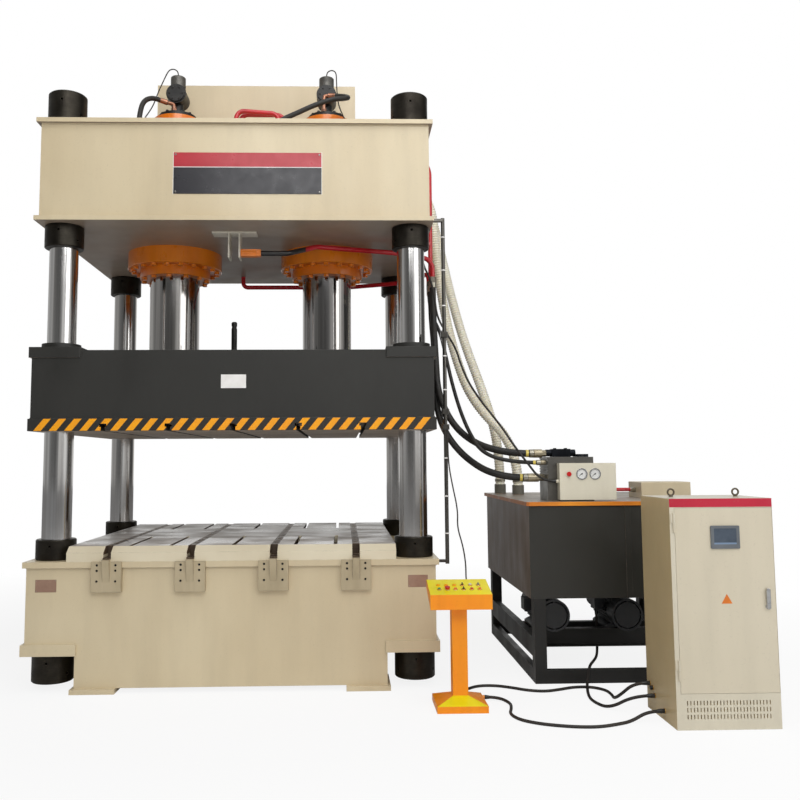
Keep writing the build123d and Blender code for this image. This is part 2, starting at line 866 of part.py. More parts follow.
# Oil box at the back of the crown, with a filling pipe to each cylinder
with BuildPart() as top_oil_box:
    with BuildSketch(Plane.XY.offset(crown_top)):
        with Locations((0, oil_box_y + oil_box_d / 2)):
            Rectangle(oil_box_w, oil_box_d)
    extrude(amount=oil_box_h)
    with BuildSketch(Plane.XY.offset(crown_top + oil_box_wall)):
        with Locations((0, oil_box_y + oil_box_d / 2)):
            Rectangle(oil_box_w - 2 * oil_box_wall, oil_box_d - 2 * oil_box_wall)
    extrude(amount=oil_box_h - 2 * oil_box_wall, mode=Mode.SUBTRACT)
    for x, y in cylinder_xy:
        with BuildSketch(Plane((x, oil_box_y, fill_pipe_z), z_dir=(0, -1, 0))):
            Circle(fill_pipe_d / 2)
        extrude(amount=oil_box_y - cylinder_d / 2 - 1)
        with BuildSketch(Plane((x, oil_box_y, fill_pipe_z), z_dir=(0, -1, 0))):
            Circle(fill_flange_d / 2)
        extrude(amount=fill_flange_t)
write_piece(top_oil_box, "top_oil_box")

# Red steel pipes: feeds over the crown and under it, with clips on the crown's side
head_port_z = head_top - cylinder_head_t / 2
head_pipe_z = head_port_z - 10
riser_top_z = over_crown_z + riser_rise
head_left_x = -cylinder_pitch / 2 + math.sqrt((cylinder_head_d / 2) ** 2 - (riser_a_y - pipe_d / 2) ** 2)
gland_pipe_z = crown_bottom - 62
rear_pipe_z = crown_bottom - 120
pipe_routes = [
    [
        (riser_x, riser_a_y, riser_bottom),
        (riser_x, riser_a_y, over_crown_z),
        (1500, -420, over_crown_z),
        (430, -420, over_crown_z),
        (350, riser_a_y, over_crown_z),
        (350, riser_a_y, riser_top_z),
        (-120, riser_a_y, riser_top_z),
        (-140, riser_a_y, head_pipe_z),
        (head_left_x, riser_a_y, head_pipe_z),
    ],
    [
        (-head_left_x, -riser_a_y, head_pipe_z),
        (300, -riser_a_y, head_pipe_z),
        (260, -riser_a_y, riser_top_z - 20),
        (-150, -riser_a_y, riser_top_z + 10),
        (-180, -riser_a_y, head_pipe_z),
        (head_left_x, -riser_a_y, head_pipe_z),
    ],
    [
        (riser_x, riser_b_y, riser_bottom),
        (riser_x, riser_b_y, gland_pipe_z - 4),
        (1450, riser_b_y - 260, gland_pipe_z),
        (700, -640, gland_pipe_z),
        (440, bar_y, latch_z),
        (latch_end_x, bar_y, latch_z),
    ],
    [
        (riser_x, riser_c_y, riser_bottom),
        (riser_x, riser_c_y, rear_pipe_z),
        (1700, 700, rear_pipe_z),
        (1000, 980, rear_pipe_z),
        (-200, 980, rear_pipe_z),
        (-200, 980, crown_bottom),
    ],
]
with BuildPart() as red_pipes:
    for pipe_points in pipe_routes:
        add_tube(pipe_points, pipe_d, [min(pipe_bend, radius) for radius in arc_radii(pipe_points)])
    for y, fitting_d in ((riser_a_y, ferrule_d), (riser_b_y, ferrule_d), (riser_c_y, pilot_d + 14)):
        with BuildSketch(Plane.XY.offset(riser_bottom)):
            with Locations((riser_x, y)):
                RegularPolygon(fitting_d / 2, 6)
        extrude(amount=union_len)
    with BuildSketch(Plane.YZ.offset(crown_w / 2)):
        with Locations(*[(riser_a_y, z) for z in pipe_clip_z]):
            Rectangle(pipe_clip_w, pipe_clip_t)
    extrude(amount=riser_x - crown_w / 2)
write_piece(red_pipes, "red_pipes")

# Limit switch rod: arms from the bed and the crown, and three switches clamped on it
with BuildPart() as limit_rod:
    with BuildSketch(Plane.XY.offset(limit_rod_bottom)):
        with Locations((limit_rod_x, limit_rod_y)):
            Circle(limit_rod_d / 2)
    extrude(amount=limit_rod_top - limit_rod_bottom)
    arm_seats = (
        (bed_top - bed_flange_t / 2, bed_w / 2),
        (crown_bottom + crown_flange_t / 2, crown_w / 2),
    )
    for arm_z, seat_x in arm_seats:
        with BuildSketch(Plane.YZ.offset(seat_x)):
            with Locations((limit_rod_y, arm_z)):
                Rectangle(limit_arm_w, limit_arm_h)
        extrude(amount=limit_rod_x - seat_x)
    for level in limit_switch_z:
        with BuildSketch(Plane.XY.offset(level - limit_clamp_h / 2)):
            with Locations((limit_rod_x, limit_rod_y)):
                RectangleRounded(limit_clamp_w, limit_clamp_w, 8)
        extrude(amount=limit_clamp_h)
        with BuildSketch(Plane.XY.offset(level - switch_h / 2)):
            with Locations((limit_rod_x, limit_rod_y + limit_clamp_w / 2 + switch_d / 2)):
                Rectangle(switch_w, switch_d)
        extrude(amount=switch_h)
write_piece(limit_rod, "limit_rod")

# Oil tank: an open steel box with a seam strip on its front
tank_mid_x = tank_x + tank_w / 2
tank_mid_y = tank_y + tank_d / 2
tank_top = tank_bottom + tank_h
with BuildPart() as oil_tank:
    with BuildSketch(Plane.XY.offset(tank_bottom)):
        with Locations((tank_mid_x, tank_mid_y)):
            Rectangle(tank_w, tank_d)
    extrude(amount=tank_h)
    with BuildSketch(Plane.XY.offset(tank_bottom + tank_wall)):
        with Locations((tank_mid_x, tank_mid_y)):
            Rectangle(tank_w - 2 * tank_wall, tank_d - 2 * tank_wall)
    extrude(amount=tank_h, mode=Mode.SUBTRACT)
    with BuildSketch(Plane.XZ.offset(-tank_y)):
        with Locations((tank_mid_x - seam_w / 2, tank_bottom + tank_h / 2)):
            Rectangle(seam_w, tank_h)
    extrude(amount=seam_t)
write_piece(oil_tank, "oil_tank")

# Tank lid with two stubs for the return hoses
lid_top = tank_top + lid_t
return_stubs = ((2831, 440), (2705, 800))
stub_h = 100
with BuildPart() as tank_lid:
    with BuildSketch(Plane.XY.offset(tank_top)):
        with Locations((tank_mid_x, tank_mid_y)):
            Rectangle(tank_w + 2 * lid_over, tank_d + 2 * lid_over)
    extrude(amount=lid_t)
    with BuildSketch(Plane.XY.offset(lid_top)):
        with Locations(*return_stubs):
            Circle(return_d / 2 + 8)
    extrude(amount=stub_h)
write_piece(tank_lid, "tank_lid")


def channel_section(width, height, web_t):
    """A channel with its open side towards -X of the sketch."""
    Rectangle(width, height)
    with Locations((-web_t / 2, 0)):
        Rectangle(width - web_t, height - 2 * web_t, mode=Mode.SUBTRACT)


# Tank stand: floor frame of channels, four legs and a raised frame for the motors
stand_x0 = tank_x + stand_inset
stand_x1 = tank_x + tank_w - stand_inset
stand_y0 = tank_y
stand_y1 = tank_y + tank_d
stand_w = stand_x1 - stand_x0
stand_d = stand_y1 - stand_y0
leg_xy = [(x, y) for x in (stand_x0 + leg_w / 2, stand_x1 - leg_w / 2)
          for y in (stand_y0 + leg_w / 2, stand_y1 - leg_w / 2)]
with BuildPart() as tank_stand:
    for rail_start, face_out in ((stand_x0, 1), (stand_x1, -1)):
        with BuildSketch(Plane.XZ.offset(-stand_y0)):
            with Locations((rail_start + face_out * stand_rail_w / 2, stand_rail_h / 2)):
                with Locations(Location((0, 0), 0 if face_out < 0 else 180)):
                    channel_section(stand_rail_w, stand_rail_h, stand_web_t)
        extrude(amount=-stand_d)
    for rail_start, face_out in ((stand_y0, 1), (stand_y1, -1)):
        with BuildSketch(Plane.YZ.offset(stand_x0)):
            with Locations((rail_start + face_out * stand_rail_w / 2, stand_rail_h / 2)):
                with Locations(Location((0, 0), 0 if face_out < 0 else 180)):
                    channel_section(stand_rail_w, stand_rail_h, stand_web_t)
        extrude(amount=stand_w)
    with BuildSketch(Plane.XY.offset(stand_rail_h)):
        with Locations(*leg_xy):
            Rectangle(leg_w, leg_w)
    extrude(amount=tank_bottom - stand_rail_h)
    for x in (stand_x0 + beam_w / 2, stand_x1 - beam_w / 2):
        with BuildSketch(Plane.XZ.offset(-stand_y0 - leg_w)):
            with Locations((x, beam_z + beam_h / 2)):
                Rectangle(beam_w, beam_h)
        extrude(amount=-stand_d + 2 * leg_w)
    for y in beam_y:
        with BuildSketch(Plane.YZ.offset(stand_x0)):
            with Locations((y, beam_z + beam_h / 2)):
                channel_section(beam_w, beam_h, stand_web_t)
        extrude(amount=stand_w)
write_piece(tank_stand, "tank_stand")

# Motors: finned housing on feet, terminal box, and a fan cowl with a ring grille
cowl_back = motor_front + cowl_len
core_back = cowl_back + motor_len
platform_top = beam_z + beam_h
fan_room_r = motor_d / 2 - cowl_t


def motor_housing(x):
    """One motor lying along Y with its cowl to the front."""
    axis_front = Plane((x, motor_front, motor_z), x_dir=(1, 0, 0), z_dir=(0, -1, 0))
    with BuildPart() as housing:
        with BuildSketch(axis_front.offset(-cowl_len)):
            Circle(motor_core_d / 2)
            with PolarLocations(motor_core_d / 2 + fin_h / 2 - 1, fin_count):
                Rectangle(fin_h + 2, fin_w)
        extrude(amount=-motor_len)
        with BuildSketch(axis_front):
            Circle(motor_d / 2)
        extrude(amount=-cowl_len - 2 * cowl_t)
        with BuildSketch(axis_front.offset(-cowl_t)):
            Circle(fan_room_r)
        extrude(amount=-cowl_len + cowl_t, mode=Mode.SUBTRACT)
        with BuildSketch(axis_front):
            for ring in range(grille_rings):
                ring_r = fan_hub_d / 2 + 12 + ring * 2 * grille_slot_w
                Circle(ring_r + grille_slot_w)
                Circle(ring_r, mode=Mode.SUBTRACT)
            Rectangle(motor_d, grille_slot_w, mode=Mode.SUBTRACT)
            Rectangle(grille_slot_w, motor_d, mode=Mode.SUBTRACT)
        extrude(amount=-cowl_t, mode=Mode.SUBTRACT)
        for side in (-1, 1):
            with BuildSketch(axis_front.offset(-cowl_len - 50)):
                Polygon(
                    (side * (motor_foot_x + motor_foot_w / 2), platform_top - motor_z),
                    (side * (motor_foot_x + motor_foot_w / 2), platform_top - motor_z + motor_foot_t),
                    (side * motor_foot_x, platform_top - motor_z + 2 * motor_foot_t),
                    (side * motor_foot_x * 0.6, platform_top - motor_z + 3 * motor_foot_t),
                    (side * motor_foot_x * 0.5, platform_top - motor_z),
                    align=None,
                )
            extrude(amount=-motor_len + 90)
        with BuildSketch(axis_front.offset(-cowl_len - motor_len)):
            Circle(bell_d / 2)
        extrude(amount=-bell_len)
        with BuildSketch(Plane((x - motor_core_d / 2 - terminal_box[2] / 2, cowl_back + 210, motor_z))):
            Rectangle(terminal_box[2] + 30, terminal_box[1])
        extrude(amount=terminal_box[0])
        with BuildSketch(Plane((x - motor_gland_x, cowl_back + 210, motor_z))):
            RegularPolygon(gland_hex / 2, 6)
        extrude(amount=-gland_len)
        with BuildSketch(axis_front.offset(-cowl_len)):
            Circle(motor_bore_d / 2)
        extrude(amount=-motor_len - bell_len, mode=Mode.SUBTRACT)
    return housing.part


with BuildPart() as motors:
    for x in motor_x:
        add(motor_housing(x))
write_piece(motors, "motors")

# Motor shafts, each with its cooling fan
for x, label in zip(motor_x, ("motor_fan_left", "motor_fan_right")):
    fan_plane = Plane((x, motor_front + 2 * cowl_t + 16, motor_z), x_dir=(1, 0, 0), z_dir=(0, -1, 0))
    with BuildPart() as motor_fan:
        with BuildSketch(fan_plane):
            Circle(motor_bore_d / 2 - motor_shaft_gap)
        extrude(amount=-cowl_len - motor_len - bell_len + 60)
        with BuildSketch(fan_plane):
            Circle(fan_hub_d / 2)
        extrude(amount=-fan_w)
        with BuildSketch(fan_plane.offset(-4)):
            with PolarLocations(fan_hub_d / 2 + (fan_d - fan_hub_d) / 4 - 2, fan_blades):
                Rectangle((fan_d - fan_hub_d) / 2 + 4, 5)
        extrude(amount=-fan_w + 8)
    write_piece(motor_fan, label)

# Pumps behind the motors, each with a suction pipe up to the tank
pump_front = core_back + bell_len
with BuildPart() as pumps:
    for x in motor_x:
        with BuildSketch(Plane((x, pump_front, motor_z), x_dir=(-1, 0, 0), z_dir=(0, 1, 0))):
            Circle(pump_d / 2)
        extrude(amount=pump_len)
        with BuildSketch(Plane((x, pump_front, motor_z), x_dir=(-1, 0, 0), z_dir=(0, 1, 0))):
            Circle(bell_d / 2)
        extrude(amount=24)
        with BuildSketch(Plane.XY.offset(motor_z)):
            with Locations((x, pump_front + pump_len / 2)):
                Circle(pump_port_d / 2)
        extrude(amount=tank_bottom - motor_z)
write_piece(pumps, "pumps")

# Valve block on the lid, with the unions and ferrules that the hoses end in
hose_a_end = 2700
hose_b_end = 2640
pilot_end = 2745
pilot_y = -985
pilot_z = 1905
top_valve_x = 2862
top_valve_w = 170
coil_len = 50
coil_d = 64
side_valve_h = 26
side_valve_w = 42
side_valve_d = 150
side_valve_pitch = 60
side_valve_inset = 45
top_valve_d = 90
top_stud_d = 18
top_stud_h = 8
top_stud_pitch = (100, 50)
port_sleeve_share = 0.66
manifold_top = lid_top + manifold_h
with BuildPart() as valve_block:
    with BuildSketch(Plane.XY.offset(lid_top)):
        with Locations((manifold_x + manifold_w / 2, manifold_y + manifold_d / 2)):
            Rectangle(manifold_w, manifold_d)
    extrude(amount=manifold_h)
    groove_count = int(manifold_h / 2 / manifold_groove_pitch)
    groove_z = [manifold_top - manifold_groove_pitch * (i + 1) for i in range(groove_count)]
    with BuildSketch(Plane.XZ.offset(-manifold_y)):
        with Locations(*[(manifold_x, z) for z in groove_z]):
            Rectangle(2 * manifold_groove, manifold_groove)
    extrude(amount=-manifold_d, mode=Mode.SUBTRACT)
    with BuildSketch(Plane.XY.offset(manifold_top)):
        with Locations((top_valve_x + top_valve_w / 2, hose_y)):
            Rectangle(top_valve_w, top_valve_d)
    extrude(amount=valve_block_h)
    coil_start = (top_valve_x - coil_len, hose_y, manifold_top + valve_block_h / 2)
    with BuildSketch(Plane(coil_start, z_dir=(1, 0, 0))):
        Circle(coil_d / 2)
    extrude(amount=top_valve_w + 2 * coil_len)
    with BuildSketch(Plane.XY.offset(manifold_top + valve_block_h)):
        with Locations((top_valve_x + top_valve_w / 2, hose_y)):
            with GridLocations(*top_stud_pitch, 2, 2):
                Circle(top_stud_d / 2)
    extrude(amount=top_stud_h)
    with BuildSketch(Plane.XY.offset(manifold_top)):
        side_valve_x = manifold_x + manifold_w - side_valve_inset
        with Locations((side_valve_x, hose_y), (side_valve_x - side_valve_pitch, hose_y)):
            Rectangle(side_valve_w, side_valve_d)
    extrude(amount=side_valve_h)
    ports = (
        (hose_a_end, top_valve_x - coil_len, hose_y, hose_a_z, ferrule_d, union_d),
        (hose_b_end, manifold_x, hose_y, hose_b_z, ferrule_d, union_d),
        (pilot_end, manifold_x, pilot_y, pilot_z, pilot_d + 8, pilot_d + 4),
    )
    for port_start, port_end, y, z, sleeve_size, nut_size in ports:
        with BuildSketch(Plane((port_start, y, z), z_dir=(1, 0, 0))):
            Circle(sleeve_size / 2)
        extrude(amount=(port_end - port_start) * port_sleeve_share)
        with BuildSketch(Plane((port_start, y, z), z_dir=(1, 0, 0))):
            RegularPolygon(nut_size / 2, 6)
        extrude(amount=port_end - port_start)
write_piece(valve_block, "valve_block")

# Gauge box: an open-backed sheet box against the valve block
gauge_front = gauge_box_y
box_mid_x = gauge_box_x + gauge_box_w / 2
box_mid_z = gauge_box_z + gauge_box_h / 2
with BuildPart() as gauge_box:
    with BuildSketch(Plane.XZ.offset(-gauge_front)):
        with Locations((box_mid_x, box_mid_z)):
            Rectangle(gauge_box_w, gauge_box_h)
    extrude(amount=-gauge_box_d)
    with BuildSketch(Plane.XZ.offset(-gauge_front - gauge_box_wall)):
        with Locations((box_mid_x, box_mid_z)):
            Rectangle(gauge_box_w - 2 * gauge_box_wall, gauge_box_h - 2 * gauge_box_wall)
    extrude(amount=-gauge_box_d, mode=Mode.SUBTRACT)
    with BuildSketch(Plane.XZ.offset(-gauge_front)):
        with Locations(*[(x, gauge_z) for x in gauge_x]):
            Circle(gauge_d / 2)
        with Locations((unit_button_x, gauge_z)):
            Circle(stem_d / 2 + control_fit)
    extrude(amount=-gauge_box_wall, mode=Mode.SUBTRACT)
    with BuildSketch(Plane.XZ.offset(-gauge_front)):
        with Locations((unit_button_x, gauge_z)):
            Circle(bezel_d / 2)
            Circle(cap_d / 2 + control_fit, mode=Mode.SUBTRACT)
    extrude(amount=bezel_h)
    with BuildSketch(Plane.YZ.offset(gauge_box_x)):
        with Locations((gauge_front + gauge_box_d / 2, gauge_box_z + 165)):
            RegularPolygon(gland_hex / 2, 6)
    extrude(amount=-gland_len)
write_piece(gauge_box, "gauge_box")

# Pressure gauges: cases with a flanged rim and a sunk dial
with BuildPart() as gauges:
    for x in gauge_x:
        with BuildSketch(Plane.YZ.offset(x)):
            Polygon(
                (gauge_front + gauge_case_t * 2, gauge_z),
                (gauge_front + gauge_case_t * 2, gauge_z + gauge_d / 2 - 1),
                (gauge_front, gauge_z + gauge_d / 2 - 1),
                (gauge_front, gauge_z + gauge_d / 2 + 5),
                (gauge_front - gauge_dial_sink, gauge_z + gauge_d / 2 + 5),
                (gauge_front - gauge_dial_sink, gauge_z + gauge_d / 2 - 4),
                (gauge_front, gauge_z + gauge_d / 2 - 4),
                (gauge_front, gauge_z),
                align=None,
            )
        revolve(axis=Axis((x, gauge_front, gauge_z), (0, 1, 0)))
    with BuildSketch(Plane.XZ.offset(-gauge_front)):
        with Locations(*[(x, gauge_z) for x in gauge_x]):
            Circle(needle_hub_d / 4 + control_fit / 2)
    extrude(amount=-gauge_dial_sink, mode=Mode.SUBTRACT)
write_piece(gauges, "gauges")

for x, label in zip(gauge_x, ("gauge_needle_left", "gauge_needle_right")):
    dial_plane = Plane((x, gauge_front - control_fit, gauge_z), x_dir=(1, 0, 0), z_dir=(0, -1, 0))
    with BuildPart() as needle:
        with BuildSketch(dial_plane):
            Circle(needle_hub_d / 2)
        extrude(amount=2 * needle_t)
        with BuildSketch(dial_plane):
            Polygon((-10, -needle_w), (needle_len, -needle_w / 6), (needle_len, needle_w / 6),
                    (-10, needle_w), rotation=215, align=None)
        extrude(amount=needle_t)
        with BuildSketch(dial_plane):
            Circle(needle_hub_d / 4)
        extrude(amount=-gauge_dial_sink + 1)
    write_piece(needle, label)

with BuildPart() as unit_button:
    button_plane = Plane((unit_button_x, gauge_front, gauge_z), x_dir=(1, 0, 0), z_dir=(0, -1, 0))
    with BuildSketch(button_plane.offset(button_travel + control_fit)):
        Circle(cap_d / 2)
    extrude(amount=bezel_h + 1)
    with BuildSketch(button_plane.offset(bezel_h + button_travel + 1)):
        Circle(mushroom_d / 2)
    extrude(amount=12)
    fillet(unit_button.faces().sort_by(Axis.Y)[0].edges(), radius=4)
    with BuildSketch(button_plane.offset(button_travel + control_fit)):
        Circle(stem_d / 2)
    extrude(amount=-button_travel - gauge_box_wall - 18)
write_piece(unit_button, "unit_button")

# Return filter box on the lid
with BuildPart() as return_box:
    with BuildSketch(Plane.XY.offset(lid_top)):
        with Locations((return_box_x + return_box_w / 2, return_box_y + return_box_d / 2)):
            Rectangle(return_box_w, return_box_d)
    extrude(amount=return_box_h)
    chamfer(return_box.faces().sort_by(Axis.Z)[-1].edges(), length=4)
write_piece(return_box, "return_box")

# Control cabinet: a sheet shell with a heavy front frame, vents, plinth and lifting eyes
cabinet_mid_x = cabinet_x + cabinet_w / 2
cabinet_mid_y = cabinet_y + cabinet_d / 2
frame_back = cabinet_y + frame_w
hinge_xy = (door_x - hinge_d / 2, cabinet_y - hinge_d / 2 - control_fit)
door_mid_x = door_x + door_w / 2
door_mid_z = door_z + door_h / 2
eye_r = eye_ring_d / 2
with BuildPart() as cabinet_body:
    with BuildSketch(Plane.XY):
        with Locations((cabinet_mid_x, cabinet_mid_y)):
            Rectangle(cabinet_w, cabinet_d)
    extrude(amount=cabinet_h)
    with BuildSketch(Plane.XY.offset(sheet_t)):
        with Locations((cabinet_mid_x, (frame_back + cabinet_y + cabinet_d - sheet_t) / 2)):
            Rectangle(cabinet_w - 2 * sheet_t, cabinet_d - frame_w - sheet_t)
    extrude(amount=cabinet_h - 2 * sheet_t, mode=Mode.SUBTRACT)
    with BuildSketch(Plane.XZ.offset(-cabinet_y)):
        with Locations((door_mid_x, door_mid_z)):
            Rectangle(door_w + 2 * door_gap, door_h + 2 * door_gap)
    extrude(amount=-door_t - door_gap, mode=Mode.SUBTRACT)
    with BuildSketch(Plane.XZ.offset(-cabinet_y)):
        with Locations((door_mid_x, door_mid_z)):
            Rectangle(door_w - 2 * frame_w, door_h - 2 * frame_w)
    extrude(amount=-frame_w, mode=Mode.SUBTRACT)
    with BuildSketch(Plane.XZ.offset(-cabinet_y)):
        with Locations((cabinet_mid_x, vent_z + vent_h / 2)):
            with GridLocations(vent_column_pitch, vent_row_pitch, vent_columns, vent_rows):
                Rectangle(vent_slot_w, vent_slot_h)
    extrude(amount=-frame_w, mode=Mode.SUBTRACT)
    for z in hinge_z:
        with BuildSketch(Plane.XY.offset(z + hinge_len / 2 + 1)):
            with Locations(hinge_xy):
                Circle(hinge_d / 2)
            with Locations((hinge_xy[0] - hinge_tab_w / 2, cabinet_y - hinge_tab_t / 2)):
                Rectangle(hinge_tab_w, hinge_tab_t)
        extrude(amount=hinge_len)
    for x in (cabinet_mid_x - eye_pitch / 2, cabinet_mid_x + eye_pitch / 2):
        with BuildSketch(Plane.XY.offset(cabinet_h)):
            with Locations((x, cabinet_mid_y)):
                Circle(eye_shank / 2 + 5)
        extrude(amount=8)
        with Locations(Location((x, cabinet_mid_y, cabinet_h + eye_r + 5), (90, 0, 0))):
            Torus(eye_r - eye_wire_d / 2, eye_wire_d / 2)
write_piece(cabinet_body, "cabinet_body")

# Cabinet door: a folded sheet tray with its hinge barrels
handle_pivot_z = handle_z - handle_h / 2 + 18
with BuildPart() as cabinet_door:
    with BuildSketch(Plane.XZ.offset(-cabinet_y)):
        with Locations((door_mid_x, door_mid_z)):
            Rectangle(door_w, door_h)
    extrude(amount=-door_t)
    with BuildSketch(Plane.XZ.offset(-cabinet_y - sheet_t)):
        with Locations((door_mid_x, door_mid_z)):
            Rectangle(door_w - 2 * frame_w, door_h - 2 * frame_w)
    extrude(amount=-door_t, mode=Mode.SUBTRACT)
    with BuildSketch(Plane.XZ.offset(-cabinet_y)):
        with Locations((handle_x, handle_pivot_z)):
            Circle(handle_shaft_d / 2 + control_fit)
    extrude(amount=-door_t, mode=Mode.SUBTRACT)
    for z in hinge_z:
        with BuildSketch(Plane.XY.offset(z - hinge_len / 2)):
            with Locations(hinge_xy):
                Circle(hinge_d / 2)
            with Locations((hinge_xy[0] + hinge_tab_w / 2, cabinet_y - hinge_tab_t / 2)):
                Rectangle(hinge_tab_w, hinge_tab_t)
        extrude(amount=hinge_len)
write_piece(cabinet_door, "cabinet_door")

handle_face = Plane((handle_x, cabinet_y - control_fit, handle_pivot_z), x_dir=(1, 0, 0), z_dir=(0, -1, 0))
with BuildPart() as door_handle:
    with BuildSketch(handle_face):
        Circle(handle_w / 2 + 4)
    extrude(amount=10)
    with BuildSketch(handle_face.offset(10)):
        with Locations((0, handle_h / 2 - 18)):
            SlotOverall(handle_h, handle_w, rotation=90)
    extrude(amount=14)
    fillet(door_handle.faces().sort_by(Axis.Y)[0].edges(), radius=5)
    with BuildSketch(handle_face):
        Circle(handle_shaft_d / 2)
    extrude(amount=-door_t - 12)
write_piece(door_handle, "door_handle")

with BuildPart() as touch_screen:
    with BuildSketch(Plane.XZ.offset(-cabinet_y)):
        with Locations((screen_x + screen_w / 2, screen_z + screen_h / 2)):
            RectangleRounded(screen_w, screen_h, 8)
    extrude(amount=screen_t)
    with BuildSketch(Plane.XZ.offset(-cabinet_y + screen_t)):
        with Locations((screen_x + screen_w / 2, screen_z + screen_h / 2 + 6)):
            Rectangle(screen_w - 44, screen_h - 52)
    extrude(amount=-2, mode=Mode.SUBTRACT)
write_piece(touch_screen, "touch_screen")

# Cable glands on the left side of the cabinet
gland_yz = ((-1958, 198), (-2020, 180), (-2056, 129), (-2249, 71))
with BuildPart() as cable_glands:
    with BuildSketch(Plane.YZ.offset(cabinet_x)):
        with Locations(*gland_yz):
            RegularPolygon(gland_hex / 2, 6)
    extrude(amount=-gland_len)
write_piece(cable_glands, "cable_glands")

# Mounting plate inside the cabinet with rows of switchgear
plate_y = cabinet_y + cabinet_d - sheet_t
switchgear_rows = (
    (1330, 9, 54, 90, 70),
    (1020, 6, 80, 96, 96),
    (690, 3, 160, 230, 130),
)
with BuildPart() as contactor_panel:
    with BuildSketch(Plane.XZ.offset(-plate_y)):
        with Locations((cabinet_mid_x, mount_plate_z + mount_plate_h / 2)):
            with GridLocations(mount_plate_w - 60, mount_plate_h - 60, 2, 2):
                Circle(8)
    extrude(amount=20)
    with BuildSketch(Plane.XZ.offset(-plate_y + 20)):
        with Locations((cabinet_mid_x, mount_plate_z + mount_plate_h / 2)):
            Rectangle(mount_plate_w, mount_plate_h)
    extrude(amount=sheet_t)
    for z, count, pitch, height, depth in switchgear_rows:
        with BuildSketch(Plane.XZ.offset(-plate_y + 20 + sheet_t)):
            with Locations((cabinet_mid_x, z)):
                Rectangle(mount_plate_w - 40, 35)
        extrude(amount=8)
        with BuildSketch(Plane.XZ.offset(-plate_y + 20 + sheet_t)):
            with Locations((cabinet_mid_x, z)):
                with GridLocations(pitch, 0, count, 1):
                    Rectangle(pitch - 3, height)
        extrude(amount=depth)
write_piece(contactor_panel, "contactor_panel")

# Console stand: base plate with a low pyramid, a square post and two cable glands
console_gland_x = console_x + 70
console_gland_y = console_y + 155
base_side_x = console_x + console_base_w / 2
base_back_y = console_y + console_base_d / 2
panel_back_y = panel_front_y + panel_depth
box_profile = (
    (panel_front_y, panel_front_low),
    (panel_front_y, panel_front_high),
    (panel_back_y, panel_back_high),
    (panel_back_y, panel_back_low),
)
with BuildPart() as console_stand:
    with BuildSketch(Plane.XY):
        with Locations((console_x, console_y)):
            Rectangle(console_base_w, console_base_d)
    extrude(amount=console_base_h)
    with BuildSketch(Plane.XY.offset(console_base_h)):
        with Locations((console_x, console_y)):
            Rectangle(console_base_w, console_base_d)
    with BuildSketch(Plane.XY.offset(console_base_h + console_base_peak)):
        with Locations((console_x, console_y)):
            Rectangle(post_w, post_w)
    loft()
    with BuildSketch(Plane.XY.offset(console_base_h)):
        with Locations((console_x, console_y)):
            Rectangle(post_w, post_w)
    extrude(amount=panel_back_low - console_base_h)
    with BuildSketch(Plane.YZ.offset(console_x - post_w)):
        Polygon(
            box_profile[0],
            (panel_front_y, panel_back_high),
            box_profile[2],
            box_profile[3],
            align=None,
        )
    extrude(amount=2 * post_w, mode=Mode.SUBTRACT)
    with BuildSketch(Plane.XZ.offset(-base_back_y)):
        with Locations((console_gland_x, console_base_h / 2)):
            RegularPolygon(gland_hex / 2, 6)
    extrude(amount=-gland_len)
    with BuildSketch(Plane.YZ.offset(base_side_x)):
        with Locations((console_gland_y, console_base_h / 2)):
            RegularPolygon(gland_hex / 2, 6)
    extrude(amount=gland_len)
write_piece(console_stand, "console_stand")

# Console box: a wedge-shaped shell with bezels, stem holes and three lamps
panel_rise = panel_back_high - panel_front_high
panel_len = math.hypot(panel_depth, panel_rise)
panel_plane = Plane(
    (console_x, panel_front_y, panel_front_high),
    x_dir=(1, 0, 0),
    z_dir=(0, -panel_rise / panel_len, panel_depth / panel_len),
)


def control_spot(column, row):
    """Centre of a control on the panel, columns from the left, row 0 at the front."""
    return ((column - 2.5) * control_pitch, control_rows[row])


lamp_spots = [control_spot(column, 1) for column in (0, 1, 2)]
button_spots = {
    "button_white": (4, 1),
    "button_green": (0, 0),
    "emergency_stop": (1, 0),
    "button_orange_middle": (2, 0),
    "button_red": (4, 0),
    "button_orange_right": (5, 0),
}
selector_spots = {
    "selector_black_back": (3, 1),
    "selector_blue": (5, 1),
    "selector_black_front": (3, 0),
}
control_spots = [control_spot(*spot) for spot in (*button_spots.values(), *selector_spots.values())]
with BuildPart() as console_box:
    with BuildSketch(Plane.YZ.offset(console_x - panel_w / 2)):
        Polygon(*box_profile, align=None)
    extrude(amount=panel_w)
    with BuildSketch(Plane.YZ.offset(console_x - panel_w / 2 + panel_wall)):
        Polygon(*box_profile, align=None)
        offset(amount=-panel_wall, kind=Kind.INTERSECTION, mode=Mode.REPLACE)
    extrude(amount=panel_w - 2 * panel_wall, mode=Mode.SUBTRACT)
    with BuildSketch(panel_plane):
        with Locations(*control_spots):
            Circle(bezel_d / 2)
    extrude(amount=bezel_h)
    with BuildSketch(panel_plane):
        with Locations(*control_spots):
            Circle(cap_d / 2 + control_fit)
    extrude(amount=bezel_h, mode=Mode.SUBTRACT)
    with BuildSketch(panel_plane):
        with Locations(*control_spots):
            Circle(stem_d / 2 + control_fit)
    extrude(amount=-panel_wall, mode=Mode.SUBTRACT)
    with BuildSketch(panel_plane):
        with Locations(*lamp_spots):
            Circle(bezel_d / 2)
    extrude(amount=bezel_h)
    with BuildSketch(panel_plane.offset(bezel_h)):
        with Locations(*lamp_spots):
            Circle(cap_d / 2)
    extrude(amount=bezel_h)
write_piece(console_box, "console_box")

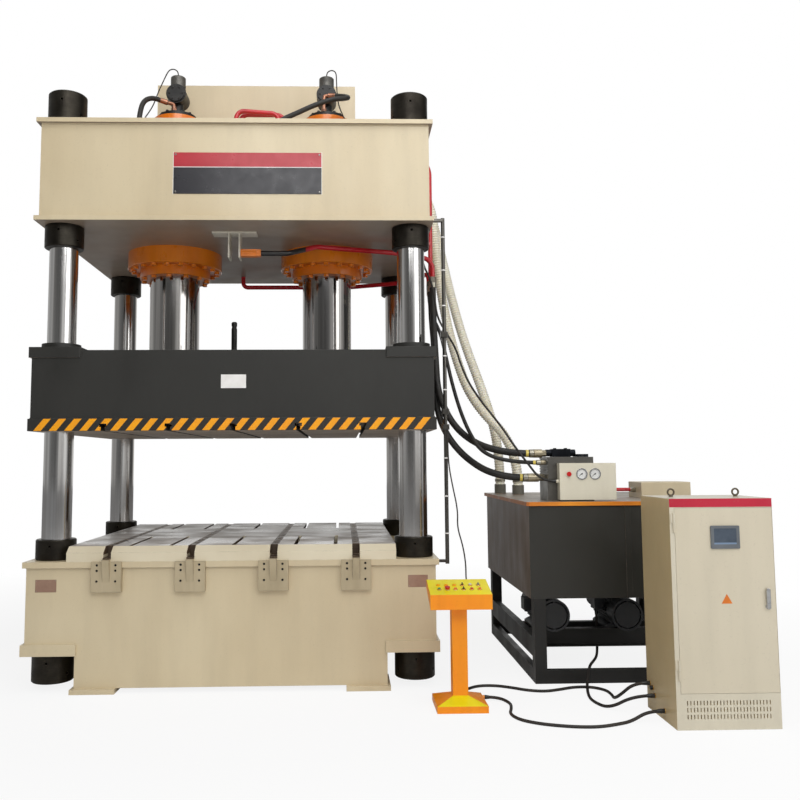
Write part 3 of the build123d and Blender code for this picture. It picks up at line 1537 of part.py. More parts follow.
# Buttons on the console, each with a stem through the panel
cap_rest = button_travel + control_fit
cap_top = bezel_h + button_travel + 2
for label, spot in button_spots.items():
    with BuildPart() as button:
        with BuildSketch(panel_plane.offset(cap_rest)):
            with Locations(control_spot(*spot)):
                Circle(cap_d / 2)
        extrude(amount=cap_top - cap_rest)
        if label == "emergency_stop":
            with BuildSketch(panel_plane.offset(cap_top)):
                with Locations(control_spot(*spot)):
                    Circle(mushroom_d / 2)
            extrude(amount=mushroom_d / 4)
        with BuildSketch(panel_plane.offset(cap_rest)):
            with Locations(control_spot(*spot)):
                Circle(stem_d / 2)
        extrude(amount=-cap_rest - panel_wall - cap_d)
    write_piece(button, label)

# Selector switches on the console
for label, spot in selector_spots.items():
    with BuildPart() as selector:
        with BuildSketch(panel_plane.offset(control_fit)):
            with Locations(control_spot(*spot)):
                Circle(cap_d / 2)
        extrude(amount=bezel_h + 2)
        with BuildSketch(panel_plane.offset(bezel_h)):
            with Locations(control_spot(*spot)):
                SlotOverall(knob_len, knob_w, rotation=90)
        extrude(amount=knob_len / 2)
        with BuildSketch(panel_plane.offset(bezel_h)):
            with Locations(control_spot(*spot)):
                Circle(stem_d / 2)
        extrude(amount=-bezel_h - panel_wall - cap_d)
    write_piece(selector, label)

# Hoses and cables: routes of straight runs with arcs, from the first fitting to the last
cord_routes = {
    "pressure_hose_upper": (hose_d, [
        (1872, -150, 3750), (1872, -150, 3430), (1883, -234, 2979), (1886, -382, 2547),
        (2067, -555, 2171), (2389, -900, 1988), (2700, -900, 1988),
    ]),
    "pressure_hose_lower": (hose_d, [
        (1872, 40, 3750), (1872, 40, 3460), (1887, -103, 3066), (1866, -246, 2678),
        (1891, -402, 2296), (2076, -584, 1976), (2359, -900, 1768), (2640, -900, 1768),
    ]),
    "pilot_hose": (pilot_d, [
        (1872, 240, 3750), (1872, 240, 3524), (1959, 9, 3273), (1998, -149, 2989),
        (2035, -298, 2701), (2082, -474, 2430), (2138, -692, 2194), (2227, -924, 1983),
        (2516, -985, 1905), (2745, -985, 1905),
    ]),
    "signal_cable": (signal_d, [
        (1735, -420, 4033), (1735, -420, 3898), (1825, -405, 3723), (1864, -400, 3535),
        (1881, -421, 3344), (1964, -469, 3179), (2045, -540, 3020), (2082, -618, 2847),
        (2138, -689, 2676), (2224, -755, 2517), (2321, -832, 2368), (2415, -919, 2222),
        (2498, -996, 2066), (2598, -1059, 1913), (2724, -1088, 1738), (2855, -1088, 1738),
    ]),
    "return_hose_front": (return_d, [
        (1094, 650, 5250), (1518, 650, 5250), (1962, 747, 4931), (2011, 785, 4329),
        (2077, 756, 3727), (2190, 687, 3135), (2374, 594, 2565), (2831, 440, 2081),
        (2831, 440, 1661),
    ]),
    "return_hose_rear": (return_d, [
        (1094, 1130, 5500), (1535, 1130, 5500), (1977, 1297, 5123), (2126, 1352, 4512),
        (2236, 1241, 3899), (2378, 1128, 3292), (2564, 983, 2705), (2705, 800, 2104),
        (2705, 800, 1661),
    ]),
    "console_cable": (cable_d, [
        (1930, -1603, 26), (1930, -1499, 26), (1985, -1361, 12), (2095, -1265, 12),
        (2241, -1266, 12), (2369, -1339, 12), (2485, -1431, 12), (2625, -1468, 12),
        (2762, -1414, 12), (2894, -1347, 12), (3040, -1348, 12), (3139, -1452, 12),
        (3141, -1598, 11), (3109, -1742, 25), (3117, -1874, 87), (3201, -1958, 198),
        (3304, -1958, 198),
    ]),
    "console_supply_cable": (cable_d, [
        (2080, -1660, 26), (2184, -1660, 26), (2269, -1778, 12), (2247, -1925, 12),
        (2205, -2068, 12), (2248, -2208, 12), (2362, -2304, 12), (2499, -2363, 12),
        (2644, -2400, 12), (2793, -2404, 12), (2934, -2355, 13), (3063, -2280, 9),
        (3200, -2249, 71), (3304, -2249, 71),
    ]),
    "motor_cable": (cable_d, [
        (3335, -580, 508), (3335, -580, 362), (3315, -644, 172), (3249, -833, 141),
        (3163, -1023, 148), (3071, -1209, 150), (2998, -1379, 59), (2948, -1571, 9),
        (2927, -1777, 13), (2998, -1968, 12), (3162, -2056, 129), (3304, -2056, 129),
    ]),
}
for label, (diameter, route_points) in cord_routes.items():
    radii = arc_radii(route_points)
    with BuildPart() as cord:
        cord_length = add_tube(route_points, diameter, radii)
    section_area = math.pi * diameter**2 / 4
    print(f"{label}: length {cord_length:.0f} mm, smallest arc {min(radii):.0f} mm, "
          f"volume over section times length {cord.part.volume / (section_area * cord_length):.4f}")
    write_piece(cord, label)
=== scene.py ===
from math import cos, pi, radians, sin

import bmesh
import bpy
from mathutils import Matrix, Vector


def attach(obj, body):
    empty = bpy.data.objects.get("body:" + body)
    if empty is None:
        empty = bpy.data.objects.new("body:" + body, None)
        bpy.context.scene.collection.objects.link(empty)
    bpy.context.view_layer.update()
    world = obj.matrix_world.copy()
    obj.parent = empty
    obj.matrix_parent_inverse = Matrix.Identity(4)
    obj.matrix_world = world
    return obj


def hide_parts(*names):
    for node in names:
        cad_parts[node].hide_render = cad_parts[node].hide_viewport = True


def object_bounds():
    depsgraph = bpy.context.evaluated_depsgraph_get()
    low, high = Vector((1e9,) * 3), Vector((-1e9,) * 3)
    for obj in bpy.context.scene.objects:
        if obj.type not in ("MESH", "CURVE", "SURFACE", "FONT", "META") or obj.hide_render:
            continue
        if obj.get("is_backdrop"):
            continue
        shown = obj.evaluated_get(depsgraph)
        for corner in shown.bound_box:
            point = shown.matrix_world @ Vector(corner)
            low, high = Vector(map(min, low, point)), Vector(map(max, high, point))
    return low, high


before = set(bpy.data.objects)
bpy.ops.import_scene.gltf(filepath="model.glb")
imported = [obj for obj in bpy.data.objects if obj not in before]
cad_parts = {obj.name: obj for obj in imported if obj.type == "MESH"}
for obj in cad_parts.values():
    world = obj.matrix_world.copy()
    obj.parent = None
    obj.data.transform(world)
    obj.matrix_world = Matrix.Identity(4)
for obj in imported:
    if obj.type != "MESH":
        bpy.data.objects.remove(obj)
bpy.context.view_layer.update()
scene = bpy.context.scene
PRESS = "press"
SLIDE = "moving_slide"
BEAD_RIPPLE = 0.01
CURVE_PITCH = 0.004
COLLAR_RIB_PITCH = 0.012
RETURN_RIB_PITCH, RETURN_RIB_DEPTH = 0.028, 0.0035


# Camera at the photograph's viewing angle, fitted to the straight edges of press and power unit
EYE = (0.9505, -8.5407, 1.9284)
YAW, PITCH, ROLL = 0.0281, 0.0896, -0.0058
SENSOR_MM = 36.0
FOCAL_PIXELS, PHOTO_PIXELS = 832.0, 800.0
SHIFT_X, SHIFT_Y = 0.0419, -0.0172


def add_camera():
    forward = Vector((sin(YAW), cos(YAW), 0)) * cos(PITCH) + Vector((0, 0, sin(PITCH)))
    right = Vector((cos(YAW), -sin(YAW), 0))
    up = right.cross(forward)
    side = right * cos(ROLL) + up * sin(ROLL)
    top = up * cos(ROLL) - right * sin(ROLL)
    data = bpy.data.cameras.new("camera")
    data.sensor_width = SENSOR_MM
    data.lens = SENSOR_MM * FOCAL_PIXELS / PHOTO_PIXELS
    data.shift_x, data.shift_y = SHIFT_X, SHIFT_Y
    data.clip_end = 100
    obj = bpy.data.objects.new("camera", data)
    obj.matrix_world = Matrix.Translation(EYE) @ Matrix((side, top, -forward)).transposed().to_4x4()
    scene.collection.objects.link(obj)
    scene.camera = obj


add_camera()


# Materials: node-built, in object coordinates; colours are sRGB until a socket takes them
def linear(colour):
    return tuple(c / 12.92 if c <= 0.04045 else ((c + 0.055) / 1.055) ** 2.4 for c in colour) + (1.0,)


def scaled(colour, factor):
    return tuple(min(1, c * factor) for c in colour)


class Tree:
    """Short calls that add, set and link the nodes of a tree."""

    def __init__(self, tree):
        self.tree = tree

    def add(self, kind, **settings):
        node = self.tree.nodes.new(kind)
        for key, value in settings.items():
            setattr(node, key, value)
        return node

    def link(self, output, socket):
        self.tree.links.new(output, socket)

    def value(self, socket, source):
        """A number, a colour or another node's output goes into the socket."""
        if isinstance(source, (int, float)):
            socket.default_value = source
        elif isinstance(source, tuple):
            socket.default_value = linear(source)
        else:
            self.link(source, socket)

    def feed(self, node, *sources):
        """The sources go into the node's first sockets; its first output comes back."""
        for socket, source in zip(node.inputs, sources):
            self.value(socket, source)
        return node.outputs[0]

    def math(self, operation, *sources):
        return self.feed(self.add("ShaderNodeMath", operation=operation), *sources)

    def times(self, a, b):
        return self.math("MULTIPLY", a, b)

    def remap(self, source, low, high, to_low=0.0, to_high=1.0):
        return self.feed(self.add("ShaderNodeMapRange"), source, low, high, to_low, to_high)


class Shader(Tree):
    """A principled material with its own noise, grain, edge and zone masks."""

    def __init__(self, name, rough=0.5, metallic=0.0, coat=0.0):
        self.mat = bpy.data.materials.new(name)
        self.mat.use_nodes = True
        super().__init__(self.mat.node_tree)
        self.sockets = self.tree.nodes["Principled BSDF"].inputs
        for key, number in (("Roughness", rough), ("Metallic", metallic), ("Coat Weight", coat),
                            ("Coat Roughness", 0.15)):
            self.sockets[key].default_value = number
        self.coords = self.add("ShaderNodeTexCoord").outputs["Object"]
        self.axes = self.add("ShaderNodeSeparateXYZ")
        self.link(self.coords, self.axes.inputs[0])

    def noise(self, scale, detail=5.0, low=0.3, high=0.7, rough=0.55, stretch=(1, 1, 1)):
        mapping = self.add("ShaderNodeMapping")
        mapping.inputs["Scale"].default_value = stretch
        self.link(self.coords, mapping.inputs["Vector"])
        texture = self.add("ShaderNodeTexNoise")
        for key, number in (("Scale", scale), ("Detail", detail), ("Roughness", rough)):
            texture.inputs[key].default_value = number
        self.link(mapping.outputs[0], texture.inputs["Vector"])
        return self.remap(texture.outputs[0], low, high)

    def mix(self, factor, a, b, kind="RGBA"):
        node = self.add("ShaderNodeMix", data_type=kind)
        for key, source in (("Factor", factor), ("A", a), ("B", b)):
            self.value(node.inputs[key], source)
        return node.outputs["Result"]

    def tint(self, tone, mask, share, colour):
        """The tone with a share of another colour wherever the mask is 1."""
        return self.mix(self.times(mask, share), tone, colour)

    def zone(self, x=None, y=None, z=None):
        """1 inside a box of object coordinates, given as (low, high) per axis."""
        result = None
        for axis, span in zip("XYZ", (x, y, z)):
            if span is None:
                continue
            above = self.math("GREATER_THAN", self.axes.outputs[axis], span[0])
            below = self.math("LESS_THAN", self.axes.outputs[axis], span[1])
            inside = self.times(above, below)
            result = inside if result is None else self.times(result, inside)
        return result

    def facing(self, direction, threshold=0.9):
        """1 where the surface faces the given way in object space."""
        dot = self.add("ShaderNodeVectorMath", operation="DOT_PRODUCT")
        self.link(self.add("ShaderNodeTexCoord").outputs["Normal"], dot.inputs[0])
        dot.inputs[1].default_value = direction
        return self.math("GREATER_THAN", dot.outputs["Value"], threshold)

    def rounded(self, radius):
        """The surface normal with its sharp edges rounded off."""
        bevel = self.add("ShaderNodeBevel", samples=4)
        bevel.inputs["Radius"].default_value = radius
        return bevel.outputs[0]

    def edges(self, radius):
        """1 along sharp edges, from the difference between the rounded and the true normal."""
        dot = self.add("ShaderNodeVectorMath", operation="DOT_PRODUCT")
        self.feed(dot, self.rounded(radius), self.add("ShaderNodeNewGeometry").outputs["Normal"])
        return self.remap(dot.outputs["Value"], 0.86, 0.99, 1.0, 0.0)

    def bump(self, height, strength, distance, radius=0.0):
        node = self.add("ShaderNodeBump")
        for key, source in (("Strength", strength), ("Distance", distance), ("Height", height)):
            self.value(node.inputs[key], source)
        if radius:
            self.link(self.rounded(radius), node.inputs["Normal"])
        self.link(node.outputs[0], self.sockets["Normal"])

    def colour(self, source):
        self.value(self.sockets["Base Color"], source)

    def metallic(self, source):
        self.value(self.sockets["Metallic"], source)

    def roughness(self, mask, low, high):
        """From low to high as the mask goes from 0 to 1."""
        self.link(self.remap(mask, 0.0, 1.0, low, high), self.sockets["Roughness"])


def paint(name, base, shade, rough, edge=None, edge_radius=0.006, coat=0.2, scale=0.9, regions=()):
    """Brushed-on machine enamel: mottled, a little streaky, orange peel, chipped edges.
    Each region is a box of object coordinates or a facing direction, with the colour given for it: some are the
    thing's own colours, some are painted shade or painted reflection on one side."""
    s = Shader(name, rough, 0.0, coat)
    cloud = s.noise(scale, 6, 0.35, 0.75, stretch=(1, 1, 0.6))
    runs = s.noise(scale * 5, 4, 0.45, 0.8, stretch=(1, 1, 0.12))
    tone = s.mix(cloud, base, shade)
    tone = s.tint(tone, runs, 0.225, scaled(shade, 0.82))
    for region, region_colour in regions:
        if "facing" in region:
            inside = s.facing(region["facing"], region.get("threshold", 0.97))
        else:
            inside = s.zone(**region)
        tone = s.mix(inside, tone, s.mix(cloud, region_colour, scaled(region_colour, 0.88)))
    speck = s.noise(60, 2, 0.62, 0.75)
    tone = s.tint(tone, speck, 0.1, scaled(shade, 0.6))
    if edge:
        worn = s.times(s.edges(edge_radius), s.noise(9, 5, 0.42, 0.62))
        tone = s.tint(tone, worn, 0.75, edge)
    s.colour(tone)
    s.roughness(s.noise(3.5, 5, stretch=(1, 1, 0.5)), rough - 0.08, rough + 0.14)
    s.bump(s.noise(140, 2, 0.0, 1.0), 0.35, 0.0006, edge_radius * 0.6)
    return s


def polished(name, base, line_and_reflection_tone, rough, blue=None):
    """Ground or hard-chromed steel with fine lines along Z, soft handling marks and broad darker bands along Z
    that are a painted reflection.
    """
    s = Shader(name, rough, 1.0)
    lines = s.noise(90, 3, 0.3, 0.75, stretch=(1, 1, 0.004))
    # The broad bands along Z are a painted reflection of the surroundings; the fine lines are grinding marks
    reflection_bands = s.noise(11, 3, 0.35, 0.7, stretch=(1, 1, 0.02))
    tone = s.tint(base, reflection_bands, 0.55, line_and_reflection_tone)
    tone = s.tint(tone, lines, 0.35, line_and_reflection_tone)
    if blue:
        tone = s.tint(tone, s.noise(4, 3, 0.5, 0.8, stretch=(1, 1, 0.05)), 0.4, blue)
    s.colour(tone)
    marks = s.noise(2.2, 6, 0.4, 0.8, stretch=(1, 1, 0.7))
    s.roughness(marks, rough, rough + 0.12)
    s.bump(s.noise(75, 4, 0.0, 1.0, 0.6, stretch=(1, 1, 0.003)), 0.3, 0.0012, 0.002)
    return s


def dark_steel(name, base, light, rough=0.38, metallic=0.85):
    """Blued or oiled steel with turned marks and rubbed edges."""
    s = Shader(name, rough, metallic)
    cloud = s.noise(6, 5, 0.35, 0.75)
    turned = s.noise(40, 2, 0.35, 0.7, stretch=(0.3, 0.3, 6))
    tone = s.mix(cloud, base, light)
    tone = s.tint(tone, turned, 0.3, scaled(base, 0.55))
    rub = s.times(s.edges(0.004), s.noise(14, 4, 0.35, 0.65))
    tone = s.tint(tone, rub, 0.6, scaled(light, 1.9))
    s.colour(tone)
    s.roughness(s.noise(9), rough - 0.08, rough + 0.15)
    s.bump(turned, 0.12, 0.0006, 0.003)
    return s


def rubber(name, base, dust, weave=True):
    """Hose or cable cover with a fine wrapped texture and floor dust on it."""
    s = Shader(name, 0.62)
    film = s.noise(7, 5, 0.4, 0.75)
    tone = s.tint(base, film, 0.55, dust)
    s.colour(tone)
    s.roughness(film, 0.5, 0.78)
    s.bump(s.noise(190 if weave else 60, 3, 0.2, 0.8), 0.3, 0.0008)
    return s


def plastic(name, base, rough=0.3):
    s = Shader(name, rough, 0.0, 0.3)
    grain = s.noise(25, 4, 0.3, 0.8)
    s.colour(s.tint(base, grain, 0.25, scaled(base, 0.7)))
    s.roughness(grain, rough - 0.05, rough + 0.12)
    s.bump(s.noise(320, 2, 0.2, 0.8), 0.1, 0.0003, 0.0012)
    return s


# The cream is darker on faces that look down: painted shade on the undersides
cream = paint("cream_paint", (0.855, 0.795, 0.665), (0.795, 0.725, 0.59), 0.42, edge=(0.92, 0.88, 0.79), coat=0.25,
              regions=(({"facing": (0, 0, -1)}, (0.64, 0.57, 0.5)),))
slate = paint("slate_paint", (0.165, 0.162, 0.148), (0.14, 0.137, 0.125), 0.52, edge=(0.36, 0.35, 0.33), coat=0.0,
              regions=(({"facing": (0, 0, -1)}, (0.7, 0.64, 0.58)),))
slate.metallic(slate.times(slate.facing((0, 0, -1), 0.97), 0.75))
console_paint = paint("console_paint", (1.0, 0.61, 0.01), (0.98, 0.55, 0.005), 0.36, edge=(1.0, 0.76, 0.2),
                      coat=0.0, scale=3,
                      regions=(({"facing": (0, -0.238, 0.971), "threshold": 0.985}, (1.0, 0.93, 0.02)),))
cabinet_paint = paint("cabinet_paint", (0.85, 0.82, 0.74), (0.82, 0.785, 0.7), 0.4, edge=(0.9, 0.87, 0.8),
                      edge_radius=0.003, coat=0.3, regions=(
                          # Faces that look left turn warmer and darker: a painted reflection on that side
                          ({"facing": (-1, 0, 0)}, (0.835, 0.75, 0.57)),
                          ({"z": (1.578, 1.6405), "y": (-2.4759, -2.4741)}, (0.76, 0.1, 0.22)),
                          ({"z": (1.6415, 1.8)}, (0.36, 0.31, 0.23))))
red_pipe = paint("red_pipe_paint", (0.82, 0.09, 0.15), (0.7, 0.05, 0.1), 0.3, edge=(0.9, 0.3, 0.3),
                 edge_radius=0.003, coat=0.5, scale=4, regions=(
                     ({"x": (-0.6, 0.6), "y": (-1.2, -0.45), "z": (3.6, 4.054)}, (0.11, 0.1, 0.1)),
                     ({"x": (1.8, 1.95), "z": (3.749, 3.8045)}, (0.5, 0.47, 0.4))))
black_steel = dark_steel("black_steel", (0.12, 0.12, 0.12), (0.21, 0.21, 0.2), 0.42)
bright_bolt = dark_steel("bolt_steel", (0.5, 0.49, 0.47), (0.62, 0.61, 0.58), 0.3, 1.0)
copper = dark_steel("copper", (0.62, 0.42, 0.33), (0.8, 0.6, 0.5), 0.3, 0.9)
brass = dark_steel("brass", (0.78, 0.56, 0.22), (0.88, 0.68, 0.34), 0.28, 1.0)
zinc = dark_steel("zinc", (0.66, 0.64, 0.58), (0.78, 0.76, 0.7), 0.3, 1.0)
hose_black = rubber("hose_cover", (0.115, 0.11, 0.105), (0.26, 0.245, 0.22))
cable_black = rubber("cable_sheath", (0.13, 0.115, 0.105), (0.27, 0.24, 0.21), weave=False)
chrome_ring = dark_steel("bezel_chrome", (0.7, 0.7, 0.7), (0.86, 0.86, 0.86), 0.14, 1.0)
band_yellow = plastic("ferrule_band", (0.9, 0.8, 0.35))
moulded_black = plastic("moulded_black", (0.07, 0.07, 0.07), 0.45)


def clear_hose():
    """Milky ribbed suction hose: pale wall, cloudy in places."""
    s = Shader("clear_hose", 0.32, 0.0, 0.3)
    film = s.noise(5, 5, 0.35, 0.75, stretch=(1, 1, 0.5))
    s.colour(s.mix(film, (0.97, 0.95, 0.88), (0.9, 0.87, 0.77)))
    s.sockets["Subsurface Weight"].default_value = 0.15
    s.sockets["Subsurface Radius"].default_value = (0.03, 0.025, 0.015)
    s.roughness(film, 0.26, 0.45)
    s.bump(s.noise(120, 3, 0.2, 0.8), 0.12, 0.0008)
    return s


def table_material():
    """Machined top with oil patches and hand marks; cream paint on the other faces, darker brown in the slots."""
    s = Shader("table_steel_and_paint", 0.4, 0.0)
    top = s.times(s.facing((0, 0, 1)), s.math("GREATER_THAN", s.axes.outputs["Z"], 1.2135))
    milled = s.noise(3.2, 4, 0.3, 0.75, stretch=(0.5, 6, 1))
    patches = s.noise(1.7, 7, 0.4, 0.62, stretch=(1, 1.6, 1))
    steel = s.mix(patches, (0.84, 0.83, 0.82), (0.62, 0.58, 0.545))
    steel = s.tint(steel, milled, 0.35, (0.94, 0.93, 0.92))
    rust = s.noise(5.5, 6, 0.58, 0.75)
    steel = s.tint(steel, rust, 0.45, (0.46, 0.37, 0.29))
    cloud = s.noise(1.2, 5, 0.35, 0.75)
    coat = s.mix(cloud, (0.9, 0.86, 0.76), (0.84, 0.79, 0.68))
    chips = s.times(s.edges(0.006), s.noise(7, 5, 0.45, 0.6))
    coat = s.tint(coat, chips, 0.7, (0.5, 0.46, 0.4))
    slot = s.zone(z=(1.148, 1.2135))
    side = s.math("MAXIMUM", s.facing((1, 0, 0)), s.facing((-1, 0, 0)))
    inner = s.times(slot, s.times(side, s.zone(x=(-1.39, 1.39))))
    under = s.times(s.zone(x=(-1.39, 1.39), z=(1.1, 1.2)), s.facing((0, 0, 1)))
    tone = s.mix(top, coat, steel)
    # The walls and floors of the slots are made darker brown
    slot_darkening = s.mix(patches, (0.46, 0.36, 0.27), (0.28, 0.23, 0.19))
    tone = s.mix(s.math("MAXIMUM", inner, under), tone, slot_darkening)
    s.colour(tone)
    s.metallic(s.times(top, 0.12))
    s.value(s.sockets["Roughness"], s.mix(top, 0.42, s.remap(patches, 0.0, 1.0, 0.26, 0.5), "FLOAT"))
    s.bump(s.noise(55, 3, 0.2, 0.8, stretch=(0.2, 3, 1)), 0.14, 0.0006, 0.003)
    return s


def lid_material():
    """Orange rolled edge, browner at its left end as a painted reflection, a pale tread plate on top and plated
    hose stubs.
    """
    s = Shader("lid_edge_and_tread", 0.4, 0.0)
    top = s.times(s.facing((0, 0, 1)), s.zone(z=(1.555, 1.57)))
    tread = s.add("ShaderNodeTexVoronoi")
    s.feed(tread, s.coords)
    tread.inputs["Scale"].default_value = 36
    bars = s.remap(tread.outputs["Distance"], 0.25, 0.4, 1.0, 0.0)
    plate = s.mix(s.noise(3, 6, 0.4, 0.7), (0.6, 0.56, 0.51), (0.47, 0.43, 0.39))
    plate = s.tint(plate, bars, 0.45, (0.76, 0.73, 0.68))
    edge = s.mix(s.noise(2.5), (0.93, 0.58, 0.12), (0.8, 0.44, 0.1))
    # Left of x 2.58 the orange edge is tinted brown: a painted reflection, as on the tank's left side
    side = s.math("LESS_THAN", s.axes.outputs["X"], 2.58)
    edge = s.tint(edge, side, 0.55, (0.55, 0.32, 0.17))
    stub = s.zone(z=(1.5615, 1.8))
    tone = s.mix(stub, s.mix(top, edge, plate), (0.42, 0.41, 0.37))
    s.colour(tone)
    s.metallic(s.times(top, 0.5))
    s.roughness(s.noise(8), 0.32, 0.52)
    s.bump(s.times(bars, top), 0.5, 0.002, 0.003)
    return s


def band_material():
    """Orange stripes that stand proud of a black band, both a little scuffed."""
    s = Shader("warning_stripes", 0.4, 0.0, 0.2)
    x_side = s.math("GREATER_THAN", s.math("ABSOLUTE", s.axes.outputs["X"]), 1.7645)
    y_side = s.math("GREATER_THAN", s.math("ABSOLUTE", s.axes.outputs["Y"]), 1.3165)
    proud = s.math("MAXIMUM", x_side, y_side)
    dull = s.noise(8, 6, 0.4, 0.75)
    bright = s.tint((1.0, 0.67, 0.03), dull, 0.5, (0.93, 0.55, 0.03))
    dark = s.mix(dull, (0.19, 0.18, 0.165), (0.14, 0.135, 0.125))
    scuff = s.noise(3, 6, 0.66, 0.74, stretch=(0.3, 0.3, 3))
    tone = s.mix(proud, dark, bright)
    s.colour(s.tint(tone, scuff, 0.5, (0.34, 0.31, 0.27)))
    s.roughness(dull, 0.34, 0.55)
    s.bump(s.noise(110, 2, 0.0, 1.0), 0.25, 0.0006, 0.001)
    return s


def valve_block_material():
    """Bare manifold with dark cast valves and plated unions."""
    s = Shader("manifold", 0.35, 0.85)
    cloud = s.noise(7, 5, 0.35, 0.75)
    tone = s.mix(cloud, (0.46, 0.45, 0.43), (0.33, 0.325, 0.31))
    valves = s.zone(z=(1.956, 2.2))
    tone = s.mix(valves, tone, s.mix(cloud, (0.1, 0.11, 0.13), (0.16, 0.17, 0.19)))
    fittings = s.math("MAXIMUM", s.zone(x=(2.0, 2.789)), s.zone(x=(2.0, 2.8115), z=(1.957, 2.1)))
    tone = s.mix(fittings, tone, s.mix(cloud, (0.74, 0.7, 0.6), (0.62, 0.57, 0.47)))
    s.colour(tone)
    s.roughness(cloud, 0.28, 0.46)
    s.bump(s.noise(90, 3, 0.2, 0.8, stretch=(0.3, 1, 4)), 0.15, 0.0005, 0.003)
    return s


def prefill_material():
    """Black cast body, grey turned cap, dark bolts on the plate."""
    s = Shader("prefill_valve", 0.45, 0.4)
    cloud = s.noise(9, 5, 0.35, 0.75)
    tone = s.mix(cloud, (0.13, 0.13, 0.13), (0.21, 0.205, 0.2))
    cap = s.zone(z=(5.8665, 6.2))
    tone = s.mix(cap, tone, s.mix(cloud, (0.42, 0.41, 0.39), (0.3, 0.295, 0.28)))
    rub = s.times(s.edges(0.003), s.noise(14, 4, 0.35, 0.65))
    s.colour(s.tint(tone, rub, 0.5, (0.55, 0.53, 0.5)))
    s.roughness(cloud, 0.34, 0.55)
    s.bump(s.noise(90), 0.15, 0.0006, 0.003)
    return s


def switchgear_material():
    """Pale mounting panel with grey and white devices on it."""
    s = Shader("switchgear", 0.45, 0.0)
    cloud = s.noise(12, 4, 0.3, 0.75)
    plate = s.zone(y=(-1.93, -1.85))
    tone = s.mix(plate, (0.2, 0.2, 0.21), (0.78, 0.77, 0.74))
    top = s.zone(y=(-2.03, -1.95), z=(1.25, 1.42))
    tone = s.mix(top, tone, (0.82, 0.82, 0.8))
    s.colour(s.tint(tone, cloud, 0.3, (0.45, 0.44, 0.42)))
    s.roughness(cloud, 0.36, 0.55)
    s.bump(s.noise(200), 0.1, 0.0004, 0.002)
    return s


def screen_material():
    """Grey surround and a dark display with a faint lit haze, no picture."""
    s = Shader("display", 0.25, 0.0, 0.4)
    glass = s.zone(x=(3.645, 3.809), y=(-2.4865, -2.4), z=(1.305, 1.43))
    haze = s.noise(9, 4, 0.3, 0.8)
    inner = s.mix(haze, (0.33, 0.37, 0.42), (0.24, 0.28, 0.33))
    bar = s.zone(x=(3.645, 3.809), z=(1.305, 1.322))
    inner = s.mix(bar, inner, (0.5, 0.58, 0.68))
    s.colour(s.mix(glass, s.mix(haze, (0.42, 0.44, 0.46), (0.36, 0.38, 0.4)), inner))
    s.value(s.sockets["Roughness"], s.mix(glass, 0.42, 0.12, "FLOAT"))
    s.bump(s.noise(300), 0.05, 0.0002, 0.001)
    return s


def plate_material(name, base, dark, metallic=0.0, rough=0.35):
    s = Shader(name, rough, metallic, 0.2)
    cloud = s.noise(10, 5, 0.35, 0.75)
    s.colour(s.mix(cloud, base, dark))
    s.roughness(cloud, rough - 0.08, rough + 0.1)
    s.bump(s.noise(150), 0.08, 0.0003, 0.001)
    return s


plate_red = plate_material("plate_red", (0.72, 0.09, 0.17), (0.66, 0.07, 0.14))
plate_navy = plate_material("plate_navy", (0.085, 0.078, 0.115), (0.065, 0.06, 0.095))
plate_white = plate_material("plate_white", (0.97, 0.96, 0.95), (0.9, 0.89, 0.87))
plate_copper = plate_material("plate_copper", (0.66, 0.53, 0.45), (0.58, 0.45, 0.38), 0.3, 0.4)
plate_orange = plate_material("plate_orange", (0.9, 0.5, 0.14), (0.82, 0.42, 0.1))
dial_white = plate_material("dial_face", (0.93, 0.93, 0.92), (0.88, 0.88, 0.87))
tick_black = plate_material("dial_marks", (0.08, 0.08, 0.08), (0.05, 0.05, 0.05))

